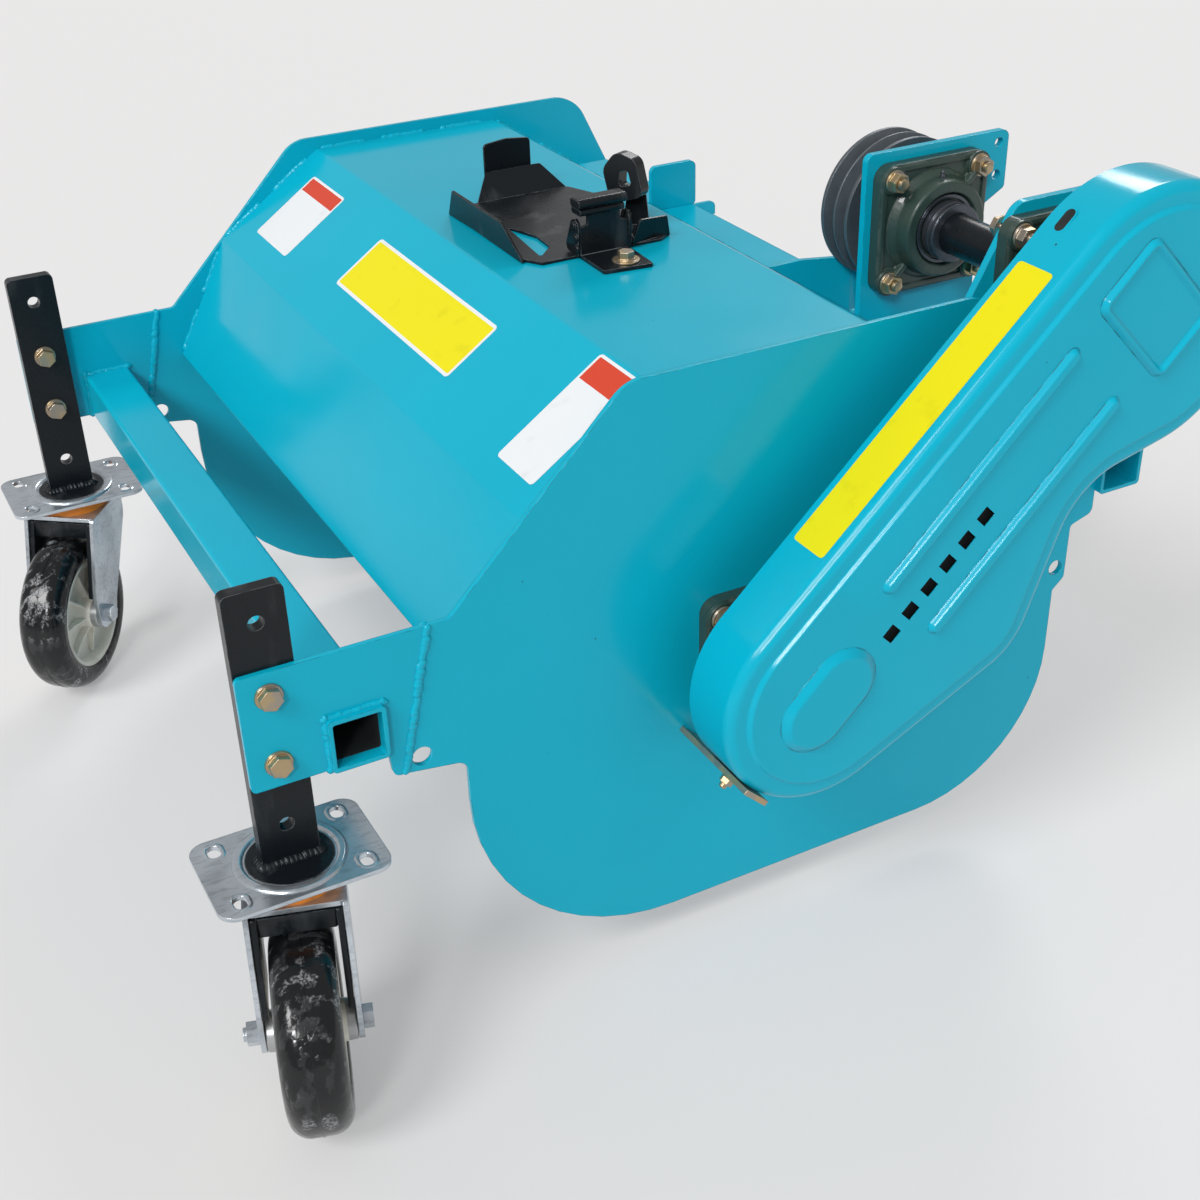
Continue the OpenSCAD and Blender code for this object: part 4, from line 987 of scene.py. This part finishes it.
class MOWER_OT_holder(bpy.types.Operator):
    """Folded holder tray with its foot, strap, lugs, lever and bolt"""

    bl_idname = "mower.holder"
    bl_label = "Holder tray"

    def execute(self, context):
        low = TOP_Z + 0.5
        tray = bmesh.new()
        plate(tray, moved(z=low),
              [(-103, 262, 4), (-92, 230, 3), (72, 228, 3), (95, 242, 3), (95, 372, 3), (84, 386, 3), (-60, 386, 8),
               (-104, 369, 6)], TRAY_T, [[(-19, 258, 2), (80, 248, 2), (57, 269, 3), (23, 271, 3)]], TRAY_SOFT)
        walls = (
            (frame_of((-103, 264, low), (0, 1, 0), (0.75, 0, 0.66)),
             [(0, 0, 1), (105, 0, 1), (84, 33, 4), (21, 33, 4)]),
            (frame_of((-93, 230, low), (1, 0, 0), (0, -0.99, -0.14)),
             [(0, 0, 1), (60, 2, 30), (178, 0, 2), (138, 32, 4), (23, 32, 4)]),
            (frame_of((-132, 287, low), (0, 1, 0), (1, 0, 0)),
             [(0, 0, 1), (54, 0, 1), (54, 53, 5), (27, 56, 40), (0, 53, 5)]),
            (moved(-132, 294, low), box_corners(16, 20, 32, 40, 2)),
            (frame_of((93, 338, low), (-0.2, 0.98, 0), (0.97, 0.2, -0.22)),
             [(0, 0, 1), (50, 0, 2), (42, 24, 4), (6, 28, 4)]))
        for place, outline in walls:
            plate(tray, place, outline, TRAY_T, (), TRAY_SOFT)
        self.lever(tray)
        piece("folded_holder_tray", tray, "black_paint", replaces=["holder_tray"], weighted=True)
        self.foot()
        return {"FINISHED"}

    def lever(self, bm):
        """Thick bent loop on the tray's far corner, on its stem."""
        place = frame_of((36, 368, 592), (0.55, 0.35, 0.30), (0.62, -0.75, 0.12))
        plate(bm, place, [(-21, -19, 9), (17, -25, 9), (23, 11, 11), (5, 26, 12), (-16, 15, 12)], 15,
              [[(-5, -7, 3), (9, -10, 3), (11, 4, 4), (3, 8, 4)]], 3.2)
        plate(bm, frame_of((44, 372, TOP_Z + 1), (0.6, 0.8, 0), (0.8, -0.6, 0.1)),
              [(-14, 0, 1), (14, 0, 1), (10, 36, 3), (-8, 36, 3)], 3, (), 0.7)

    def foot(self):
        """Bolted foot with its upright, strap, rolled lip and riveted lugs."""
        bm = bmesh.new()
        low = TOP_Z + FOOT_LIFT
        plate(bm, moved(z=low), [(97, 281, 1), (148, 280, 3), (154, 330, 3), (98, 333, 1)], FOOT_T, (), TRAY_SOFT)
        plate(bm, frame_of((96, 281, low), (0, 1, 0), (1, 0, 0)),
              [(0, 0, 0), (52, 0, 0), (51, 31, 2), (43, 33, 2), (43, 50, 2), (8, 50, 2), (8, 33, 2), (0, 31, 2)],
              FOOT_T, (), 0.7)
        for z, reach, tall in ((586.5, 0, 7.0), (595, 2, 9.5)):
            plate(bm, frame_of((98 + reach, 280 - reach, z), (-1, 0, 0), (0, 1, 0)),
                  box_corners(5, 0, 20, tall, tall / 2 - 0.1), 48 + 2 * reach, (), 1.4)
        for y, face in ((281, -1), (333, 1)):
            lug = frame_of((72, y, TOP_Z + 1), (-face, 0, 0), (0, face, 0))
            ear = [(0, 4, 6), (-face * 27, 1, 3), (-face * 30, 36, 9), (-face * 16, 39, 9)]
            plate(bm, lug, ear[::face], 3, (), TRAY_SOFT)
            for x, z in ((21, 31), (25, 20), (27, 10)):
                rivet = bmesh.new()
                disc(rivet, 0, 4.4, 3.2, 2.6, 20, 0.8)
                join(bm, rivet, lug @ moved(-face * x, z, 3))
        piece("bent_holder_foot", bm, "black_paint", replaces=["holder_foot"], weighted=True)
        head = hex_end(TRAY_D, TRAY_HEAD, 0)
        disc(head, -0.6, 13.5, 13.3, 1.6, 36)
        head.transform(moved(134, 311, TOP_Z + 4.7) @ Matrix.Rotation(0.3, 4, "Z"))
        piece("holder_fastener", head, "yellow_zinc", replaces=["holder_bolts"], weighted=True)


# Welds

STITCH, STITCH_GAP, STITCH_SHARE = 75.0, 0.12, 0.62
# Front tube: its middle in Y and Z, its bore, and the thickness and length of the sleeve of painted shade inside its
# open ends
TUBE = Vector((-88, 303))
TUBE_BORE, SHADE_SLEEVE_T, SHADE_SLEEVE_L = 41.9, 0.4, 140
HITCH_END = [(589, 430.4, 0.5), (604, 430.4, 3), (604, 496.5, 6), (589, 496.5, 0.5)]


def bead(bm, dice, start, end, up, width, height):
    """Rippled weld bead between two points, standing towards up."""
    start, end = Vector(start), Vector(end)
    along = end - start
    count = max(2, round(along.length / looks().weld_pitch))
    line = bmesh.new()
    for k in range(count + 1):
        place = frame_of(start + along * (k / count), along, up)
        side = Vector((dice.uniform(-0.5, 0.5), dice.uniform(-0.8, 0.8), dice.uniform(-0.3, 0.2)))
        grow = dice.uniform(0.85, 1.15)
        size = Matrix.Diagonal((looks().weld_pitch * 1.05, width / 2 * grow, height * grow, 1))
        bmesh.ops.create_uvsphere(line, u_segments=8, v_segments=6, radius=1.0,
                                  matrix=place @ Matrix.Translation(side) @ size)
    join(bm, line)


class MOWER_OT_welds(bpy.types.Operator):
    """Weld beads of plates, tubes and sheet, the painted shade inside the tube ends and the hitch plate's end"""

    bl_idname = "mower.welds"
    bl_label = "Welds"

    def execute(self, context):
        dice = random.Random(11)
        bm = bmesh.new()
        for s in (-1, 1):
            bead(bm, dice, (s * PLATE_OUT, -20, 383), (s * PLATE_OUT, -49, 254), (s, 0, 0), 8, 2.4)
            bead(bm, dice, (s * PLATE_IN, -20, 383), (s * PLATE_IN, -49, 254), (-s, 0, 0), 8, 2.2)
            for x, out in ((PLATE_OUT, s), (PLATE_IN, -s)):
                path = [(-113, 279), (-113, 328), (-63, 328), (-63, 281)]
                for (y0, z0), (y1, z1), (dy, dz) in zip(path, path[1:], ((-1, 0), (0, 1), (1, 0))):
                    bead(bm, dice, (s * x, y0, z0), (s * x, y1, z1), (out, dy, dz), 7, 2.6)
            for (y0, z0), (y1, z1) in zip(SHEET, SHEET[1:]):
                run = Vector((0, y1 - y0, z1 - z0))
                up = Vector((-s, 0, 0)) + Vector((0, -run.z, run.y)).normalized()
                stitches = max(1, round(run.length / STITCH))
                for k in range(stitches):
                    a = Vector((s * PLATE_IN, y0, z0)) + run * ((k + STITCH_GAP) / stitches)
                    bead(bm, dice, a, a + run * (STITCH_SHARE / stitches), up, 7, 2.4)
        piece("weld_beads", bm, "teal_paint")
        self.tube_lining()
        self.leg_feet(dice)
        self.hitch_end()
        return {"FINISHED"}

    def tube_lining(self):
        """Painted shade inside the front tube's open ends: a near-black sleeve in each bore."""
        bm = bmesh.new()
        inner = TUBE_BORE - 2 * SHADE_SLEEVE_T
        for s in (-1, 1):
            plate(bm, frame_of((s * 255, *TUBE), (0, s, 0), (s, 0, 0)), box_corners(0, 0, TUBE_BORE, TUBE_BORE, 1.5),
                  SHADE_SLEEVE_L, [box_corners(0, 0, inner, inner, 1.2)], 0.05)
        piece("tube_lining", bm, "teal_paint", dark_hollow())

    def leg_feet(self, dice):
        """Beads round the legs' feet on the caster plates."""
        bm = bmesh.new()
        for s in (-1, 1):
            x0, x1 = s * LEG_X - LEG_T / 2, s * LEG_X + LEG_T / 2
            y0, y1 = LEG_Y - LEG_W / 2, LEG_Y + LEG_W / 2
            feet = [(x0, y0), (x1, y0), (x1, y1), (x0, y1), (x0, y0)]
            for a, b, out in zip(feet, feet[1:], ((0, -1), (1, 0), (0, 1), (-1, 0))):
                bead(bm, dice, (*a, CASTER_TOP), (*b, CASTER_TOP), (*out, 1), 12, 5.0)
        piece("leg_foot_welds", bm, "black_paint")

    def hitch_end(self):
        """Last stretch of the hitch side plate, behind the inner bearing plate."""
        bm = bmesh.new()
        plate(bm, moved(z=105.1), HITCH_END, 5.8)
        bm.transform(ON_SIDE)
        piece("hitch_plate_end", bm, "teal_paint")


# Stickers

FILM_LIFT, FILM_T, BAND_SHARE = 0.12, 0.18, 0.27


class MOWER_OT_stickers(bpy.types.Operator):
    """Blank stickers on the front slope and on the belt cover"""

    bl_idname = "mower.stickers"
    bl_label = "Stickers"

    def execute(self, context):
        low, high = Vector((0, *SHEET[1])), Vector((0, *SHEET[2]))
        along = (high - low).normalized()
        out = Vector((0, -along.z, along.y))
        slope = frame_of(low + out * FILM_LIFT, (1, 0, 0), out)
        self.film("warning_blank_middle", slope, (22, 80, 284, 66), 3.5, "yellow")
        self.film("label_blank_left", slope, (-296, 78, 98, 91), 3.0, "white")
        self.film("label_blank_right", slope, (341, 87, 66, 123), 3.0, "white")
        self.film("warning_blank_cover", cover_wall(FILM_LIFT), (236, -474, 296, 42), 2.5, "yellow", "yellow")
        return {"FINISHED"}

    def film(self, name, place, size, border, tone, rim="white"):
        """A thin film with a border and, for a white one, a red band across its upper end."""
        bm = bmesh.new()
        cx, cy, w, h = size
        raised(bm, [outline_face(bm, box_corners(cx, cy, w, h, border + 1.5))], FILM_T)
        bmesh.ops.recalc_face_normals(bm, faces=bm.faces[:])
        top = max(bm.faces, key=lambda f: f.calc_center_median().z)
        stepped(bm, top, [(border, 0)])
        top.material_index = 1
        if tone == "white":
            y = cy + h * BAND_SHARE
            bmesh.ops.bisect_plane(bm, geom=[top, *top.edges, *top.verts], plane_co=(cx, y, 0), plane_no=(0, 1, 0))
            for face in bm.faces:
                if face.material_index == 1 and face.calc_center_median().y > y:
                    face.material_index = 2
        bm.transform(place)
        piece(name, bm, "teal_paint", sticker_film(rim), sticker_film(tone), sticker_film("red"))


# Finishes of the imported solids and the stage

# Floor: half its size in metres, and the shares of its colour that it shows and gives off itself
FLOOR_HALF, FLOOR_SHOWN, FLOOR_GLOW = 60.0, 0.62, 0.40
# Lamps: name, direction towards it, strength, spread in degrees
LAMPS = (("key", (0.26, -0.67, 0.70), 1.65, 22), ("fill", (0.66, -0.52, 0.54), 1.10, 10),
         ("back", (-0.62, 0.55, 0.56), 0.80, 16))
SKY, SKY_STRENGTH = (1.0, 0.995, 0.99, 1), 0.42
# Camera: place in the deck frame; azimuth, elevation and roll in degrees; lens and sensor in millimetres
CAMERA_PLACE, CAMERA_TURN = (1483.9, -420.6, 1096.2), (62.82, 31.06, -1.72)
CAMERA_LENS, CAMERA_SENSOR, CLIP_START = 50.81, 36.0, 0.02


class MOWER_OT_finishes(bpy.types.Operator):
    """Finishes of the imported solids"""

    bl_idname = "mower.finishes"
    bl_label = "Finishes"

    def execute(self, context):
        for row in frame["record"]["subparts"]:
            data = NODES[row["node"]].data
            data.materials.clear()
            data.materials.append(NODE_FINISH[row["material_slot"]]())
        return {"FINISHED"}


class MOWER_OT_stage(bpy.types.Operator):
    """Pale floor, soft lamps and the camera"""

    bl_idname = "mower.stage"
    bl_label = "Stage"

    def execute(self, context):
        bm = bmesh.new()
        bmesh.ops.create_grid(bm, x_segments=1, y_segments=1, size=FLOOR_HALF)
        mesh = bpy.data.meshes.new("floor")
        bm.to_mesh(mesh)
        bm.free()
        floor = bpy.data.objects.new("floor", mesh)
        context.scene.collection.objects.link(floor)
        f = Finish("studio_floor")
        seen = (f.add("LightPath", out="Is Camera Ray") + f.add("LightPath", out="Is Glossy Ray")
                + f.add("LightPath", out="Is Transmission Ray"))
        pale = looks().floor
        f.set(Base_Color=f.mix(seen, pale, shade(pale, FLOOR_SHOWN)),
              Emission_Color=f.mix(seen, (0, 0, 0), shade(pale, FLOOR_GLOW)),
              Emission_Strength=1.0, Roughness=0.9, Specular_IOR_Level=0.1)
        mesh.materials.append(f.material)
        for lamp in LAMPS:
            self.sun(*lamp)
        world = bpy.data.worlds.new("studio")
        world.use_nodes = True
        sky = world.node_tree.nodes["Background"]
        sky.inputs["Color"].default_value = SKY
        sky.inputs["Strength"].default_value = SKY_STRENGTH
        context.scene.world = world
        context.scene.view_settings.view_transform = "Standard"
        self.camera(context)
        return {"FINISHED"}

    def sun(self, name, towards, strength, spread):
        """Soft lamp far away in a direction."""
        data = bpy.data.lights.new(name, "SUN")
        data.energy = strength
        data.angle = math.radians(spread)
        lamp = bpy.data.objects.new(name, data)
        lamp.rotation_mode = "QUATERNION"
        lamp.rotation_quaternion = Vector(towards).to_track_quat("Z", "Y")
        bpy.context.scene.collection.objects.link(lamp)

    def camera(self, context):
        """Camera that sees the mower as the photo does."""
        data = bpy.data.cameras.new("photo_view")
        data.sensor_width = CAMERA_SENSOR
        data.lens = CAMERA_LENS
        data.clip_start = CLIP_START
        camera = bpy.data.objects.new("photo_view", data)
        azimuth, elevation, roll = CAMERA_TURN
        camera.matrix_world = (moved(*(PLACE @ Vector(CAMERA_PLACE))) @ spun(azimuth) @ spun(90 - elevation, "X")
                               @ spun(roll))
        context.scene.collection.objects.link(camera)
        context.scene.camera = camera


STEPS = (MOWER_OT_stage, MOWER_OT_finishes, MOWER_OT_belt_cover, MOWER_OT_wheels, MOWER_OT_caster_plates,
         MOWER_OT_fasteners, MOWER_OT_bearings, MOWER_OT_holder, MOWER_OT_welds, MOWER_OT_stickers)


class MOWER_PT_panel(bpy.types.Panel):
    """The mower's looks and pieces"""

    bl_idname = "MOWER_PT_panel"
    bl_label = "Flail mower"
    bl_space_type = "VIEW_3D"
    bl_region_type = "UI"
    bl_category = "Flail mower"

    def draw(self, context):
        for name in MowerLooks.__annotations__:
            self.layout.prop(context.scene.mower_looks, name)
        for step in STEPS:
            self.layout.operator(step.bl_idname)


CLASSES = (MowerLooks, *STEPS, MOWER_PT_panel)


def register():
    for cls in CLASSES:
        bpy.utils.register_class(cls)
    bpy.types.Scene.mower_looks = bpy.props.PointerProperty(type=MowerLooks)


def unregister():
    del bpy.types.Scene.mower_looks
    for cls in reversed(CLASSES):
        bpy.utils.unregister_class(cls)


def main():
    register()
    for step in STEPS:
        group, name = step.bl_idname.split(".")
        getattr(getattr(bpy.ops, group), name)()


if __name__ == "__main__":
    main()
